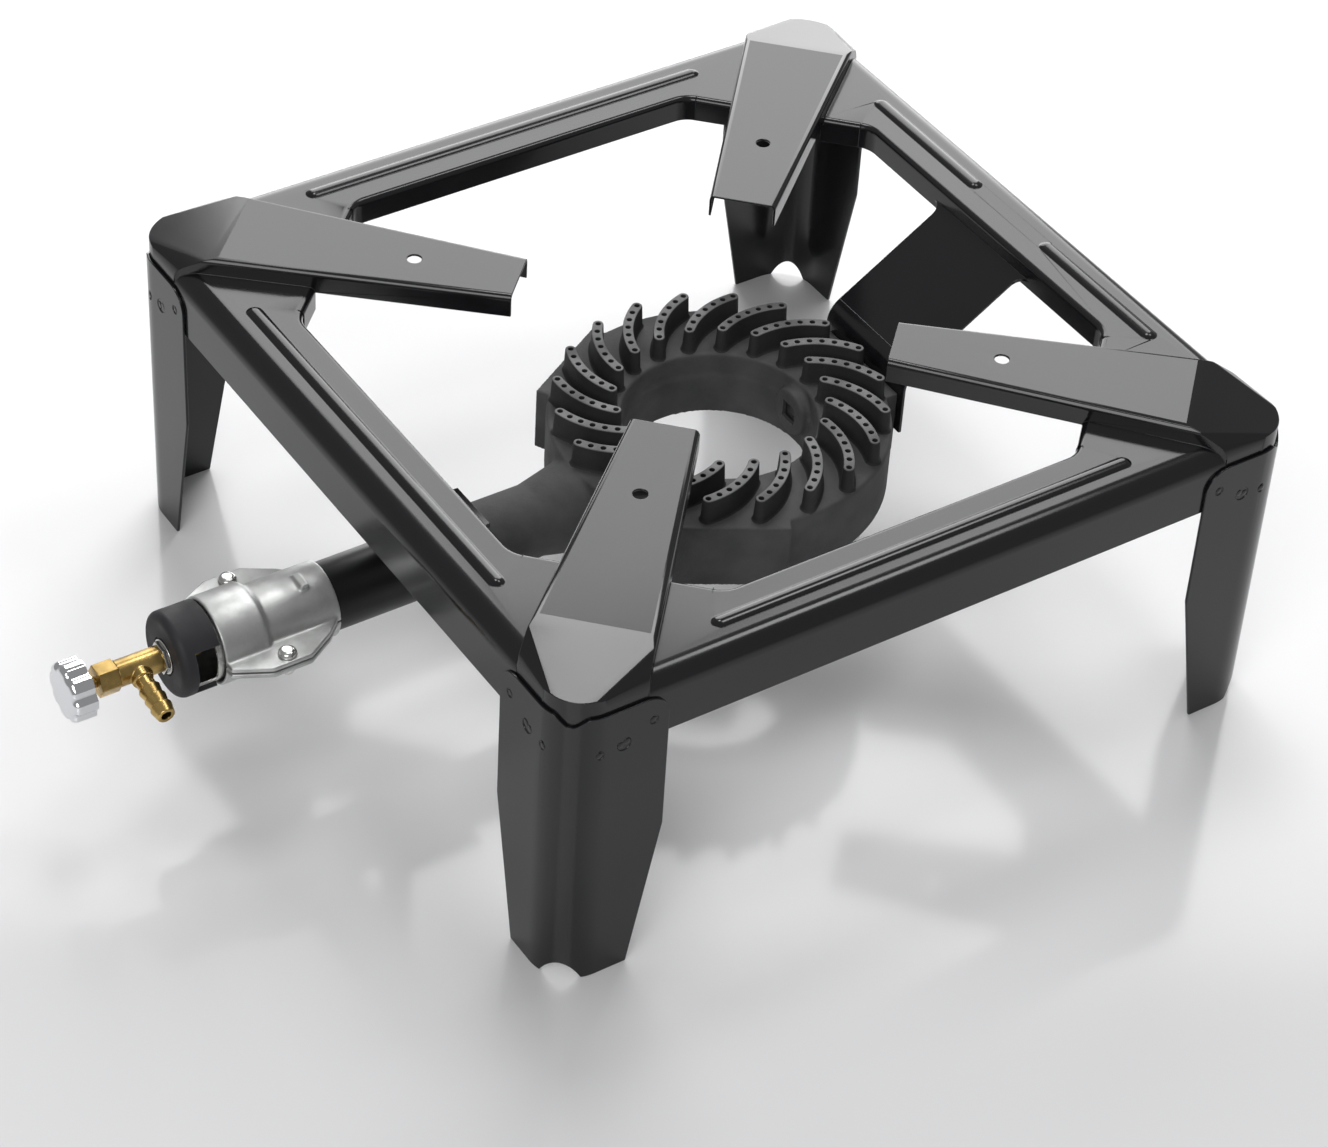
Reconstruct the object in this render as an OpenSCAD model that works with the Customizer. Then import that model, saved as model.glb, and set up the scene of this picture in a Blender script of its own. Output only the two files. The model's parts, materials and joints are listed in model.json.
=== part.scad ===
// Low square gas stove: a pressed steel top on four folded legs carries a cast ring
// burner with curved vanes, fed by a mixing tube with an air cap and a needle valve.

/* [Stand] */
// Width and depth of the stand over its legs
stand_w = 400; // [380:5:440]
// Height of the pot rests above the floor
stand_h = 175; // [168:1:200]
// Thickness of the pressed top's sheet
top_t = 1.2; // [1:0.1:1.5]
// Width of the side bars
bar_w = 34.7; // [32:0.1:38]
// Step from the pot rests down to the side bars
bar_drop = 9; // [7:0.5:11]
// Height of the skirt below the side bars
skirt_h = 32; // [30:0.5:38]
// Rounding along the top of the skirt
skirt_round = 10; // [7:0.5:12]
// Plan radius of the skirt's corners
corner_r = 20; // [16:0.5:24]
// Height of the flange round the opening
lip_h = 13.5; // [11:0.5:16]
// Rounding along the edge of the opening
lip_round = 3; // [2:0.25:4]
// Depth by which the opening's corners are cut off
corner_cut = 48; // [40:1:52]
// Radius where the cut corners meet the straight edges
corner_blend = 13; // [10:0.5:16]

/* [Pot rests] */
// Distance of a pot rest's tip from the centre
rest_tip = 90; // [84:1:96]
// Width of a pot rest at its tip
rest_tip_w = 33; // [30:0.5:38]
// Width of a pot rest at its crease
rest_root_w = 54.6; // [48:0.2:58]
// Radius of the curved tip
rest_tip_bow = 150; // [120:5:200]
// Rounding along the edges of a pot rest
rest_round = 3; // [2:0.25:4]
// Height of a pot rest's flanges
rest_flange = 12; // [11:0.5:14]
// Distance from the skirt's sharp corner to the crease
crease_inset = 50; // [46:0.5:56]
// Slope of the corner cap's sides in degrees
cap_slope = 34; // [30:0.5:40]
// Spacing of the holes in the pot rests
hole_pitch = 200; // [190:1:210]
// Diameter of those holes
hole_d = 7; // [5:0.1:8]
// Width of the pressed beads
bead_w = 8; // [6:0.5:10]
// Height of the pressed beads
bead_h = 1.7; // [1.2:0.1:2]
// Length of a full bead between its end centres
bead_l = 220; // [180:2:230]
// Gap in the rear bead above the strap, between end centres
bead_gap = 60; // [50:1:80]
// Shift of the beads outwards from the middle of a bar's flat
bead_shift = 2.8; // [0:0.1:4]

/* [Legs] */
// Thickness of the leg sheet
leg_t = 1.5; // [1.2:0.1:2]
// Width of each leg plate at its top
leg_top_w = 53; // [48:0.5:58]
// Width of each leg plate at the floor
leg_foot_w = 37.5; // [34:0.5:42]
// Height at which the plates start to narrow
leg_taper_z = 80; // [60:1:100]
// Distance of the legs' top edge below the side bars
leg_drop = 8.5; // [7:0.5:12]
// Rounding of the plates' upper corners
leg_round = 12; // [8:0.5:14]
// Depth of the relief notch at the top of the bend
relief_h = 10; // [6:0.5:12]
// Width of the relief notch across the bend
relief_w = 10; // [7:0.5:11]
// Height of the arch between the feet
arch_h = 9.3; // [6:0.1:12]
// Width of the arch across the bend
arch_w = 16; // [12:0.5:18]
// Diameter of a weld mark
weld_d = 4; // [3:0.5:5]
// Diameter of the clinch mark between two welds
clinch_d = 7; // [5:0.5:8]

/* [Burner] */
// Distance of the burner behind the stand's centre
burner_back = 13; // [8:1:16]
// Gap from the vanes up to the pot rests
flame_gap = 56.4; // [50:0.2:62]
// Outer radius of the burner ring
ring_r = 84; // [83:0.5:85]
// Radius of the hole through the ring
ring_bore_r = 46.5; // [44:0.5:47.5]
// Height of the ring's body
ring_h = 35; // [33:0.5:38]
// Wall of the hollow casting
casting_wall = 3.2; // [2.8:0.1:3.4]
// Floor and deck of the hollow casting
casting_deck = 5; // [4:0.5:6]
// Number of vanes
vane_count = 20; // [16:1:22]
// Height of the vanes above the deck
vane_h = 12.6; // [10:0.2:14]
// Width of a vane across its top
vane_w = 5.3; // [4.8:0.1:5.8]
// Widening of each side of a vane down to the deck
vane_draft = 0.7; // [0.3:0.1:1]
// Radius of a vane's outermost port from the burner's axis
vane_outer_r = 79.3; // [78:0.1:79.4]
// Radius of a vane's innermost port from the burner's axis
vane_inner_r = 52.7; // [52:0.1:56]
// Turn about the burner's axis between those ports, in degrees
vane_twist = 21.4; // [16:0.2:24]
// Radius of the vane's own curve
vane_bend_r = 43.9; // [36:0.1:60]
// Ports in each vane
port_count = 7; // [5:1:8]
// Diameter of a port
port_d = 2.5; // [1.8:0.1:2.8]
// Direction of the first vane's outer port in degrees
vane_phase = -37.7; // [-44:0.1:-30]
// Width of the flat mounting bosses
boss_w = 58; // [50:1:62]
// Distance by which the bosses' faces stand proud of the ring
boss_proud = 1.4; // [1.2:0.1:4]
// Radius of the pad round the nut pocket
pad_r = 12; // [10:0.5:13]
// Height of that pad above the wall of the hole
pad_h = 5; // [4:0.5:6]
// Outer diameter of the neck
neck_d = 36; // [35:0.5:38]
// Outer diameter of the neck where it leaves the ring
neck_root_d = 46; // [42:0.5:50]
// Height of the neck's axis above the ring's underside
neck_rise = 12; // [10:0.5:16]
// Length of the neck's taper where it leaves the ring
neck_taper = 23.5; // [18:0.5:28]
// Length of the spigot that enters the mixing tube
spigot_l = 25; // [18:1:32]
// Wall of that spigot
spigot_wall = 2; // [1.5:0.1:3]

/* [Straps and bolts] */
// Width of the rear strap
strap_w = 66; // [58:1:72]
// Thickness of the rear strap
strap_t = 1.6; // [1.4:0.1:2]
// Outer bend radius of the rear strap
strap_bend = 14; // [10:0.5:16]
// Height of the strap's upper end below the side bars
strap_top_drop = 8.5; // [7:0.5:9]
// Slope of the strap in degrees
strap_slope = 32; // [30:0.5:34]
// Radius of the flare at the strap's upper end
strap_flare = 6; // [4:0.5:8]
// Length of the strap below the bolt
strap_tail = 7; // [6.5:0.5:10]
// Height of the rear bolt above the ring's underside
bolt_rise = 20; // [18:0.5:21]
// Thread diameter of the mounting bolts
bolt_d = 6; // [5:0.5:6.5]
// Width across flats of the bolt heads and the square nut
bolt_af = 10; // [9.5:0.5:11]
// Thickness of a bolt head and of the square nut
head_h = 4; // [3.5:0.5:5]
// Thickness of the front bracket
bracket_t = 2.5; // [2:0.5:3]
// Width of the front bracket
bracket_w = 30; // [26:1:36]
// Distance of the front bolt behind the bracket's plate
bracket_reach = 22; // [20:0.5:26]
// Length of the bracket's foot beyond that bolt
bracket_toe = 18; // [9:0.5:20]
// Diameter of the bracket's seat on the neck
seat_d = 17; // [14:0.5:17]
// Height of the seat for the bracket above the neck
seat_h = 2; // [1.5:0.5:4]

/* [Mixing tube and clamp] */
// Gap between the bracket's seat and the tube's inner end
tube_gap = 2; // [1:0.5:4]
// Length of the mixing tube
tube_l = 88.5; // [82:0.5:100]
// Outer diameter of the mixing tube
tube_d = 33.7; // [33:0.1:34.5]
// Wall of the mixing tube
tube_wall = 2.6; // [2:0.1:3]
// Length of tube held in the clamp
clamp_grip = 36; // [33:0.5:40]
// Length of the clamp's bell in front of the tube
bell_l = 25; // [22:0.5:28]
// Outer diameter of the bell
bell_d = 43; // [42.6:0.1:46]
// Wall of the clamp
clamp_wall = 1.7; // [1.5:0.1:2]
// Gap between the two clamp halves
clamp_split = 0.8; // [0.4:0.1:1.2]
// Width over the clamp's ears
ear_span = 69; // [67:0.5:74]
// Length of the straight edge of an ear
ear_l = 20; // [16:1:24]
// Length of the sloping edge behind it
ear_lead = 14; // [12:1:16]
// Distance by which the sloping edges fall back
ear_taper = 8.5; // [6:0.5:10]
// Thickness of an ear
ear_t = 2.6; // [2:0.2:4]
// Distance of the two clamp screws behind the tube's end
screw_back = 2; // [0:0.5:4]
// Spacing of the two clamp screws
screw_pitch = 58; // [57:0.5:58.5]
// Thread diameter of the clamp screws
screw_d = 4; // [3:0.5:4.5]
// Diameter of the clamp screws' heads
screw_head_d = 9; // [8:0.5:9]

/* [Air cap] */
// Outer diameter of the fixed air sleeve
sleeve_d = 37.2; // [36.8:0.1:37.4]
// Wall of the air sleeve
sleeve_wall = 1.5; // [1.2:0.1:1.8]
// Thickness of the sleeve's end plate and of its rim
sleeve_end = 2; // [1.5:0.1:2.5]
// Outer diameter of the air cap
cap_d = 42; // [41:0.1:43]
// Length of the air cap
cap_l = 20; // [19:0.5:22]
// Thickness of the air cap's end
cap_end = 2.6; // [2:0.1:3]
// Rounding of the air cap's front edge
cap_round = 4; // [3:0.5:5]
// Running clearance of the air cap on its sleeve
cap_fit = 0.3; // [0.2:0.05:0.4]
// Diameter of the recess in the air cap's end
cap_recess_d = 19; // [18:0.5:22]
// Depth of that recess
cap_recess = 1; // [0.5:0.1:1.4]
// Diameter of the washer in that recess
washer_d = 17; // [15:0.5:17.4]
// Thickness of that washer
washer_t = 1.1; // [0.8:0.1:1.5]
// Distance of the sleeve's rim behind the bell's mouth
rim_back = 8; // [5:0.5:12]
// Gap between the clamp and the air cap
cap_gap = 1; // [0.5:0.1:1.5]
// Distance of the air windows from the cap's open end
window_back = 1.5; // [1:0.5:3]
// Length of the air windows
window_l = 11; // [8:0.5:12]
// Width of the air windows in degrees about the axis
window_angle = 56; // [40:2:70]
// Direction of the first window in degrees, from the right upwards
window_aim = -22; // [-40:2:0]
// Thread diameter of the valve's shank
shank_d = 10; // [9:0.5:10.5]
// Diameter of the hub that the air cap turns on
hub_d = 12; // [11.5:0.5:12.5]
// Width across flats of the nuts on the shank and the hub
lock_af = 14; // [14:0.5:16]
// Thickness of the nut on the hub
lock_nut_t = 2; // [1.5:0.5:3]
// Thickness of the nut on the shank
sleeve_nut_t = 4; // [3:0.5:5]

/* [Valve] */
// Diameter of the valve's body
valve_d = 12.8; // [12.6:0.1:14]
// Length of the valve's body
valve_l = 22; // [20:0.5:26]
// Distance from the body's shoulder to the gas inlet
inlet_at = 12; // [10:0.5:12.5]
// Diameter of the inlet boss
inlet_d = 10.4; // [10:0.1:11]
// Distance of the barb's tip from the valve's axis
barb_reach = 31; // [28:0.5:36]
// Largest diameter of the barb
barb_d = 10.8; // [9.4:0.1:11.4]
// Diameter of the barb between its ridges
barb_core_d = 8.6; // [7.8:0.1:9]
// Bore of the barb
barb_bore = 5; // [4:0.5:6]
// Ridges on the barb
barb_ridges = 3; // [2:1:4]
// Droop of the barb in degrees
barb_droop = 10; // [0:1:20]
// Width across flats of the gland nut
gland_af = 14; // [13.5:0.5:16]
// Length of the gland nut
gland_l = 10; // [8:0.5:12]
// Gap between the gland nut and the knob
knob_gap = 5; // [3:0.5:7]
// Diameter of the knob
knob_d = 29; // [26:0.5:34]
// Thickness of the knob
knob_l = 12; // [10:0.5:14]
// Lobes round the knob
knob_lobes = 8; // [6:1:10]
// Diameter of the valve's spindle
stem_d = 5; // [4:0.5:5.5]

/* [Hidden] */
$fn = 64;

// Shared fits: pieces that press or screw together, and how far a cut runs past its solid
fit = 0.05;
past = 1;
root2 = sqrt(2);

// Beside a bend, a straight stretch runs in by the lap and stays behind by the skim
lap = 0.3;
skim = 0.01;

// Levels of the stand
bar_z = stand_h - bar_drop;
skirt_z = bar_z - skirt_h;
skirt_half = stand_w / 2 - leg_t;
opening_half = skirt_half - bar_w;
opening_cut = opening_half * root2 - corner_cut;
leg_h = bar_z - leg_drop;
bead_line = skirt_half - (bar_w + skirt_round - lip_round) / 2 + bead_shift;
crease_u = skirt_half * root2 - crease_inset;
corner_u = skirt_half * root2 - corner_r * (root2 - 1);
crease_fall = atan(bar_drop / (corner_u - crease_u));

// Front bracket behind the flange of the opening, and its bolt
bracket_back = opening_half + top_t + bracket_t;
front_bolt_y = -bracket_back + bracket_t + bracket_reach;

// Levels of the burner, with its bosses' faces and the depth of the front bolt
boss_face_r = ring_r + boss_proud;
vane_z = stand_h - flame_gap;
deck_z = vane_z - vane_h;
base_z = deck_z - ring_h;
line_z = base_z + neck_rise;
bolt_z = base_z + bolt_rise;
seat_z = line_z + neck_d / 2 + seat_h;
neck_bore_r = tube_d / 2 - tube_wall - fit - spigot_wall;
front_bolt_l = neck_d / 2 - neck_bore_r;

// Stations along the gas line, measured forwards from the stand's centre
tube_r = tube_d / 2;
tube_bore_r = tube_r - tube_wall;
tube_start = seat_d / 2 + tube_gap - front_bolt_y;
tube_end = tube_start + tube_l;
clamp_start = tube_end - clamp_grip;
bell_end = tube_end + bell_l;
cap_start = bell_end + cap_gap;
cap_front = cap_start + cap_l;
sleeve_front = cap_front - cap_end - cap_fit;
washer_start = cap_front - cap_recess + cap_fit;
shoulder = washer_start + washer_t + lock_nut_t;
gland_start = shoulder + valve_l;
knob_start = gland_start + gland_l + knob_gap;
knob_front = knob_start + knob_l;

// The origin lies on the floor below the middle of the whole object
stand_y = (knob_front - stand_w / 2) / 2;

module in_place() {
    translate([0, stand_y, 0]) children();
}

module on_line(station) {
    translate([0, stand_y - station, line_z]) rotate([90, 0, 0]) children();
}

module four_times() {
    for (quarter = [0:3]) rotate([0, 0, 90 * quarter]) children();
}

module pie(r) {
    intersection() {
        circle(r);
        square(r);
    }
}

// Rectangle from the origin with its far upper corner rounded
module shoulder_2d(w, h, r) {
    square([w, h - r]);
    if (w > r) square([w - r, h]);
    translate([w - r, h - r]) pie(r);
}

// Vertical prism over a rounded square
module rounded_square_prism(half, r, z0, z1) {
    translate([0, 0, z0]) linear_extrude(z1 - z0) {
        square([2 * half, 2 * (half - r)], center = true);
        square([2 * (half - r), 2 * half], center = true);
        for (x = [-1, 1]) for (y = [-1, 1]) translate([x * (half - r), y * (half - r)]) circle(r);
    }
}

// Opening of the top, grown outwards by a given amount
module opening_2d(grow) {
    half = opening_half + grow;
    cut = opening_cut + grow;
    r = corner_blend + grow;
    corner = cut * root2 - half;
    run = r * tan(22.5);
    points = [for (k = [0:3]) for (p = [[half, -corner + run], [half, corner - run],
        [half - run / root2, corner + run / root2], [corner + run / root2, half - run / root2]])
        [p[0] * cos(90 * k) - p[1] * sin(90 * k), p[0] * sin(90 * k) + p[1] * cos(90 * k)]];
    polygon(points);
    four_times() for (flip = [0, 1]) mirror([0, flip, 0]) translate([half - r, corner - run]) circle(r);
}

// Edge strip round the opening, with its inner upper edge rounded
module opening_edge(inset, z0) {
    half = opening_half + inset;
    r = corner_blend + inset;
    corner = (opening_cut + inset) * root2 - half;
    side = corner - r * tan(22.5);
    slant = (half - corner) / root2 - r * tan(22.5);
    round_r = lip_round - inset;
    w = round_r + 2 * past;
    h = bar_z - inset - z0;
    four_times() for (flip = [0, 1]) mirror([0, flip, 0]) translate([half - r, side, z0]) {
        rotate_extrude(angle = 45) translate([r + w, 0]) mirror([1, 0]) shoulder_2d(w, h, round_r);
        rotate([90, 0, 0]) linear_extrude(side + past)
            translate([r + w, 0]) mirror([1, 0]) shoulder_2d(w, h, round_r);
        rotate([0, 0, 45]) translate([skim, slant + past, 0]) rotate([90, 0, 0])
            linear_extrude(slant + past + lap) translate([r + w, 0]) mirror([1, 0])
                shoulder_2d(w, h, round_r);
    }
}

// The four bars as a solid whose surface lies inset below the real one
module bars_solid(inset, z0, lip_z0) {
    half = skirt_half - inset;
    r = corner_r - inset;
    h = bar_z - inset - z0;
    inner = half - r;
    four_times() {
        translate([inner, inner, z0]) rotate([90, 0, 0]) linear_extrude(2 * inner)
            shoulder_2d(r, h, skirt_round - inset);
        translate([inner, inner, z0]) rotate_extrude(angle = 90) shoulder_2d(r, h, skirt_round - inset);
    }
    translate([0, 0, z0]) linear_extrude(h) difference() {
        square(2 * inner, center = true);
        opening_2d(lip_round + past);
    }
    opening_edge(inset, lip_z0);
}

// Pot rest and corner cap along the diagonal, as a solid with its surface inset
module rest_solid(inset, z0, flange_z, tip) {
    half = skirt_half - inset;
    top = stand_h - inset;
    reach = skirt_half * root2;
    taper = atan((rest_root_w - rest_tip_w) / 2 / (crease_u - rest_tip));
    roof = bar_z - inset / cos(cap_slope);
    facet = inset * tan(crease_fall / 2);
    root = opening_cut + bar_drop;
    intersection() {
        rest_flank(taper, inset, z0, top, reach);
        mirror([0, 1, 0]) rest_flank(taper, inset, z0, top, reach);
        rotate([90, 0, 0]) translate([0, 0, -rest_root_w]) linear_extrude(2 * rest_root_w)
            polygon([[tip, flange_z], [root, flange_z], [root, z0], [reach, z0],
                [reach, top - (reach - crease_u + facet) * tan(crease_fall)],
                [crease_u - facet, top], [tip, top]]);
        rotate([0, 0, -45]) intersection() {
            cap_roof(half, roof, z0, top);
            mirror([1, -1, 0]) cap_roof(half, roof, z0, top);
            rounded_square_prism(half, corner_r - inset, z0, top);
        }
    }
}

module rest_flank(taper, inset, z0, top, reach) {
    translate([rest_tip, rest_tip_w / 2, 0]) rotate([90, 0, 90 + taper])
        translate([-reach, z0, -reach / 2]) linear_extrude(2 * reach)
            shoulder_2d(reach - inset, top - z0, rest_round - inset);
}

module cap_roof(half, roof, z0, top) {
    ridge = skirt_half - (top - roof) / tan(cap_slope);
    translate([0, skirt_half, 0]) rotate([90, 0, 0]) linear_extrude(2 * skirt_half)
        polygon([[0, z0], [half, z0], [half, roof + (skirt_half - half) * tan(cap_slope)],
            [ridge, top], [0, top]]);
}

// Pressed bead along a bar, between two end centres
module bead(from, to, inset) {
    r = (bead_w * bead_w / 4 + bead_h * bead_h) / (2 * bead_h);
    translate([bead_line, 0, bar_z + bead_h - r]) {
        translate([0, from, 0]) rotate([-90, 0, 0]) cylinder(r = r - inset, h = to - from);
        for (y = [from, to]) translate([0, y, 0]) sphere(r - inset);
    }
}

module beads(inset) {
    for (quarter = [-1, 0, 2]) rotate([0, 0, 90 * quarter]) bead(-bead_l / 2, bead_l / 2, inset);
    for (flip = [0, 1]) mirror([flip, 0, 0]) rotate([0, 0, 90]) bead(bead_gap / 2, bead_l / 2, inset);
}

module top_frame() color([0.06, 0.06, 0.07]) in_place() difference() {
    union() {
        bars_solid(0, skirt_z, bar_z - lip_h);
        four_times() rotate([0, 0, 45])
            rest_solid(0, bar_z - skirt_h / 2, stand_h - rest_flange, rest_tip);
        beads(0);
    }
    bars_solid(top_t, skirt_z - past, skirt_z - past);
    four_times() rotate([0, 0, 45])
        rest_solid(top_t, skirt_z - past, skirt_z - past, rest_tip - past);
    beads(top_t);
    for (x = [-1, 1]) for (y = [-1, 1]) translate([x * hole_pitch / 2, y * hole_pitch / 2, bar_z])
        cylinder(d = hole_d, h = bar_drop + past);
}

// One plate of a leg, drawn from the corner inwards
module leg_plate_2d() {
    half = stand_w / 2;
    bend = half - corner_r - leg_t;
    inner = half - leg_top_w;
    difference() {
        polygon([[bend, 0], [bend, leg_h], [inner, leg_h], [inner, leg_taper_z], [half - leg_foot_w, 0]]);
        translate([inner, leg_h - leg_round]) difference() {
            square([leg_round, leg_round]);
            translate([leg_round, 0]) circle(leg_round);
        }
    }
}

module leg() {
    half = stand_w / 2;
    bend = half - corner_r - leg_t;
    mark_depth = leg_t / 3;
    difference() {
        union() {
            translate([bend, bend, 0]) rotate_extrude(angle = 90)
                translate([corner_r, 0]) square([leg_t, leg_h]);
            for (flip = [0, 1]) mirror([flip, -flip, 0]) translate([half - leg_t, 0, 0])
                rotate([90, 0, 90]) linear_extrude(leg_t) leg_plate_2d();
        }
        // relief at the top of the bend and arch between the feet
        rotate([0, 0, 45]) {
            translate([half, 0, leg_h - relief_h + relief_w / 2]) rotate([0, 90, 0])
                cylinder(d = relief_w, h = half);
            translate([half, -relief_w / 2, leg_h - relief_h + relief_w / 2])
                cube([half, relief_w, relief_h]);
            translate([half, 0, arch_h - arch_w / 2]) rotate([0, 90, 0]) cylinder(d = arch_w, h = half);
            translate([half, -arch_w / 2, -past]) cube([half, arch_w, arch_h - arch_w / 2 + past]);
        }
        // weld and clinch marks
        for (flip = [0, 1]) mirror([flip, -flip, 0]) for (mark = leg_marks)
            translate([half - mark_depth, half - mark[0], skirt_z + mark[1]]) rotate([0, 90, 0])
                cylinder(d = mark[2], h = leg_t);
    }
}

// Marks on a leg plate: distance from the corner, height above the skirt's edge, diameter
leg_marks = [[leg_top_w * 0.85, skirt_h * 0.34, weld_d], [leg_top_w * 0.57, skirt_h * 0.11, clinch_d],
    [leg_top_w * 0.34, skirt_h * 0.06, weld_d]];

module leg_rear_right() color([0.06, 0.06, 0.07]) in_place() leg();
module leg_rear_left() color([0.06, 0.06, 0.07]) in_place() rotate([0, 0, 90]) leg();
module leg_front_left() color([0.06, 0.06, 0.07]) in_place() rotate([0, 0, 180]) leg();
module leg_front_right() color([0.06, 0.06, 0.07]) in_place() rotate([0, 0, 270]) leg();

// Curve of a vane: end ports, centre and start angle of its arc, and the arc's angle
vane_p0 = [vane_outer_r, 0];
vane_p1 = vane_inner_r * [cos(vane_twist), sin(vane_twist)];
vane_chord = norm(vane_p1 - vane_p0);
vane_dir = (vane_p1 - vane_p0) / vane_chord;
vane_sag = sqrt(vane_bend_r * vane_bend_r - vane_chord * vane_chord / 4);
vane_centre = (vane_p0 + vane_p1) / 2 + vane_sag * [-vane_dir[1], vane_dir[0]];
vane_a0 = atan2(vane_p0[1] - vane_centre[1], vane_p0[0] - vane_centre[0]);
vane_arc = 2 * asin(vane_chord / 2 / vane_bend_r);

// A vane with drafted sides and round ends, sunk a little into the deck
module vane() {
    top = vane_w / 2;
    foot = top + vane_draft * (1 + past / vane_h);
    translate([vane_centre[0], vane_centre[1], deck_z]) rotate([0, 0, vane_a0]) {
        rotate_extrude(angle = vane_arc) translate([vane_bend_r, 0])
            polygon([[-foot, -past], [foot, -past], [top, vane_h], [-top, vane_h]]);
        for (turn = [0, vane_arc]) rotate([0, 0, turn]) translate([vane_bend_r, 0, -past])
            cylinder(r1 = foot + skim, r2 = top + skim, h = vane_h + past);
    }
}

module vane_ports() {
    for (i = [0:port_count - 1])
        translate([vane_centre[0], vane_centre[1], deck_z - casting_deck - past])
            rotate([0, 0, vane_a0 + i * vane_arc / (port_count - 1)]) translate([vane_bend_r, 0, 0])
                cylinder(d = port_d, h = casting_deck + vane_h + 2 * past, $fn = 8);
}

// Recess in front of the nut, and the inner face of its pad from the burner's axis
nut_recess = 2;
pad_face_r = ring_bore_r - pad_h;

module bolt_axis(r) {
    translate([0, r, bolt_z]) rotate([-90, 0, 0]) children();
}

module ring_body() {
    difference() {
        union() {
            translate([0, 0, base_z]) cylinder(r = ring_r, h = ring_h, $fn = 128);
            for (k = [0:2]) rotate([0, 0, 90 + 120 * k])
                translate([ring_bore_r + casting_wall, -boss_w / 2, base_z])
                    cube([boss_face_r - ring_bore_r - casting_wall, boss_w, ring_h]);
            for (k = [0:vane_count - 1]) rotate([0, 0, vane_phase + k * 360 / vane_count]) vane();
        }
        translate([0, 0, base_z - past]) cylinder(r = ring_bore_r, h = ring_h + 2 * past, $fn = 128);
    }
    intersection() {
        bolt_axis(pad_face_r) cylinder(r = pad_r, h = pad_h + casting_wall);
        translate([0, 0, base_z]) cylinder(r = ring_bore_r + casting_wall / 2, h = ring_h);
    }
}

// Gas chamber inside the ring, with the tunnel of the rear bolt left standing
module chamber() {
    difference() {
        translate([0, 0, base_z + casting_deck]) difference() {
            cylinder(r = ring_r - casting_wall, h = ring_h - 2 * casting_deck);
            translate([0, 0, -past]) cylinder(r = ring_bore_r + casting_wall, h = ring_h);
        }
        bolt_axis(ring_bore_r) cylinder(d = bolt_af + 2 * casting_wall, h = boss_face_r - ring_bore_r);
    }
    intersection() {
        translate([0, -ring_r + boss_w / 2, line_z]) rotate([90, 0, 0])
            cylinder(r = neck_bore_r, h = boss_w / 2 + past);
        translate([0, 0, base_z + casting_deck]) cylinder(r = ring_r + past, h = ring_h);
    }
}

module neck() {
    start = ring_r - burner_back - casting_wall / 2;
    straight = tube_start - start - neck_taper;
    difference() {
        union() {
            on_neck(start) cylinder(d1 = neck_root_d, d2 = neck_d, h = neck_taper);
            on_neck(start + neck_taper) cylinder(d = neck_d, h = straight);
            on_neck(tube_start) cylinder(r = neck_bore_r + spigot_wall, h = spigot_l);
            translate([0, front_bolt_y, line_z]) cylinder(d = seat_d, h = seat_z - line_z);
            translate([neck_lug_x, -start - neck_lug_gap, line_z - neck_lug[2] / 4])
                cube(neck_lug, center = true);
        }
        translate([0, burner_back, base_z]) cylinder(r = ring_r - casting_wall, h = ring_h, $fn = 128);
        on_neck(start - past) cylinder(r = neck_bore_r, h = tube_start - start + spigot_l + 2 * past);
        translate([0, front_bolt_y, seat_z - front_bolt_l]) cylinder(d = bolt_d + 4 * fit, h = neck_d);
    }
}

// Small cast lug beside the neck
neck_lug = [6, 9, 14];
neck_lug_x = 20;
neck_lug_gap = 21;

module on_neck(station) {
    translate([0, -station, line_z]) rotate([90, 0, 0]) children();
}

module burner() color([0.2, 0.2, 0.21]) in_place() {
    translate([0, burner_back, 0]) difference() {
        ring_body();
        chamber();
        for (k = [0:vane_count - 1]) rotate([0, 0, vane_phase + k * 360 / vane_count]) vane_ports();
        bolt_axis(pad_face_r - past) cylinder(d = bolt_d + 4 * fit, h = boss_face_r);
        bolt_axis(pad_face_r - past) translate([0, 0, (past + nut_recess + head_h) / 2])
            cube([bolt_af + 2 * fit, bolt_af + 2 * fit, past + nut_recess + head_h], center = true);
    }
    neck();
}

// Side profile of the rear strap in the Y-Z plane, drawn about the centre of its bend
strap_face = burner_back + boss_face_r;
strap_run = (opening_half - strap_face - strap_bend + strap_bend * sin(strap_slope)) / cos(strap_slope);
strap_bend_z = bar_z - strap_top_drop - strap_run * sin(strap_slope) - strap_bend * cos(strap_slope);

module strap_2d() {
    tail = strap_bend_z - bolt_z + strap_tail;
    inner = strap_bend - strap_t;
    translate([-strap_bend, -tail]) square([strap_t, tail]);
    difference() {
        circle(strap_bend);
        circle(inner);
        translate([-2 * strap_bend, -4 * strap_bend]) square(4 * strap_bend);
        rotate(strap_slope) translate([0, -2 * strap_bend]) square(4 * strap_bend);
    }
    rotate(strap_slope) translate([-lap, inner + skim])
        square([strap_run + strap_bend, strap_t - 2 * skim]);
}

module rear_strap() color([0.06, 0.06, 0.07]) in_place() difference() {
    flare_y = opening_half - strap_flare;
    span = strap_w + 2 * strap_flare;
    translate([-span / 2, strap_face + strap_bend, strap_bend_z])
        rotate([90, 0, 90]) linear_extrude(span) strap_2d();
    translate([-span, opening_half, 0]) cube([2 * span, 2 * strap_bend, stand_h]);
    for (flip = [0, 1]) mirror([flip, 0, 0]) {
        translate([strap_w / 2, 0, 0]) cube([span, flare_y, stand_h]);
        translate([strap_w / 2 + strap_flare, flare_y, 0]) cylinder(r = strap_flare, h = stand_h);
    }
    translate([0, burner_back, 0]) bolt_axis(ring_r) cylinder(d = bolt_d + 4 * fit, h = ring_r);
}

// Hexagon prism given by its width across flats
module hex(af, h) {
    cylinder(d = af / cos(30), h = h, $fn = 6);
}

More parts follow.
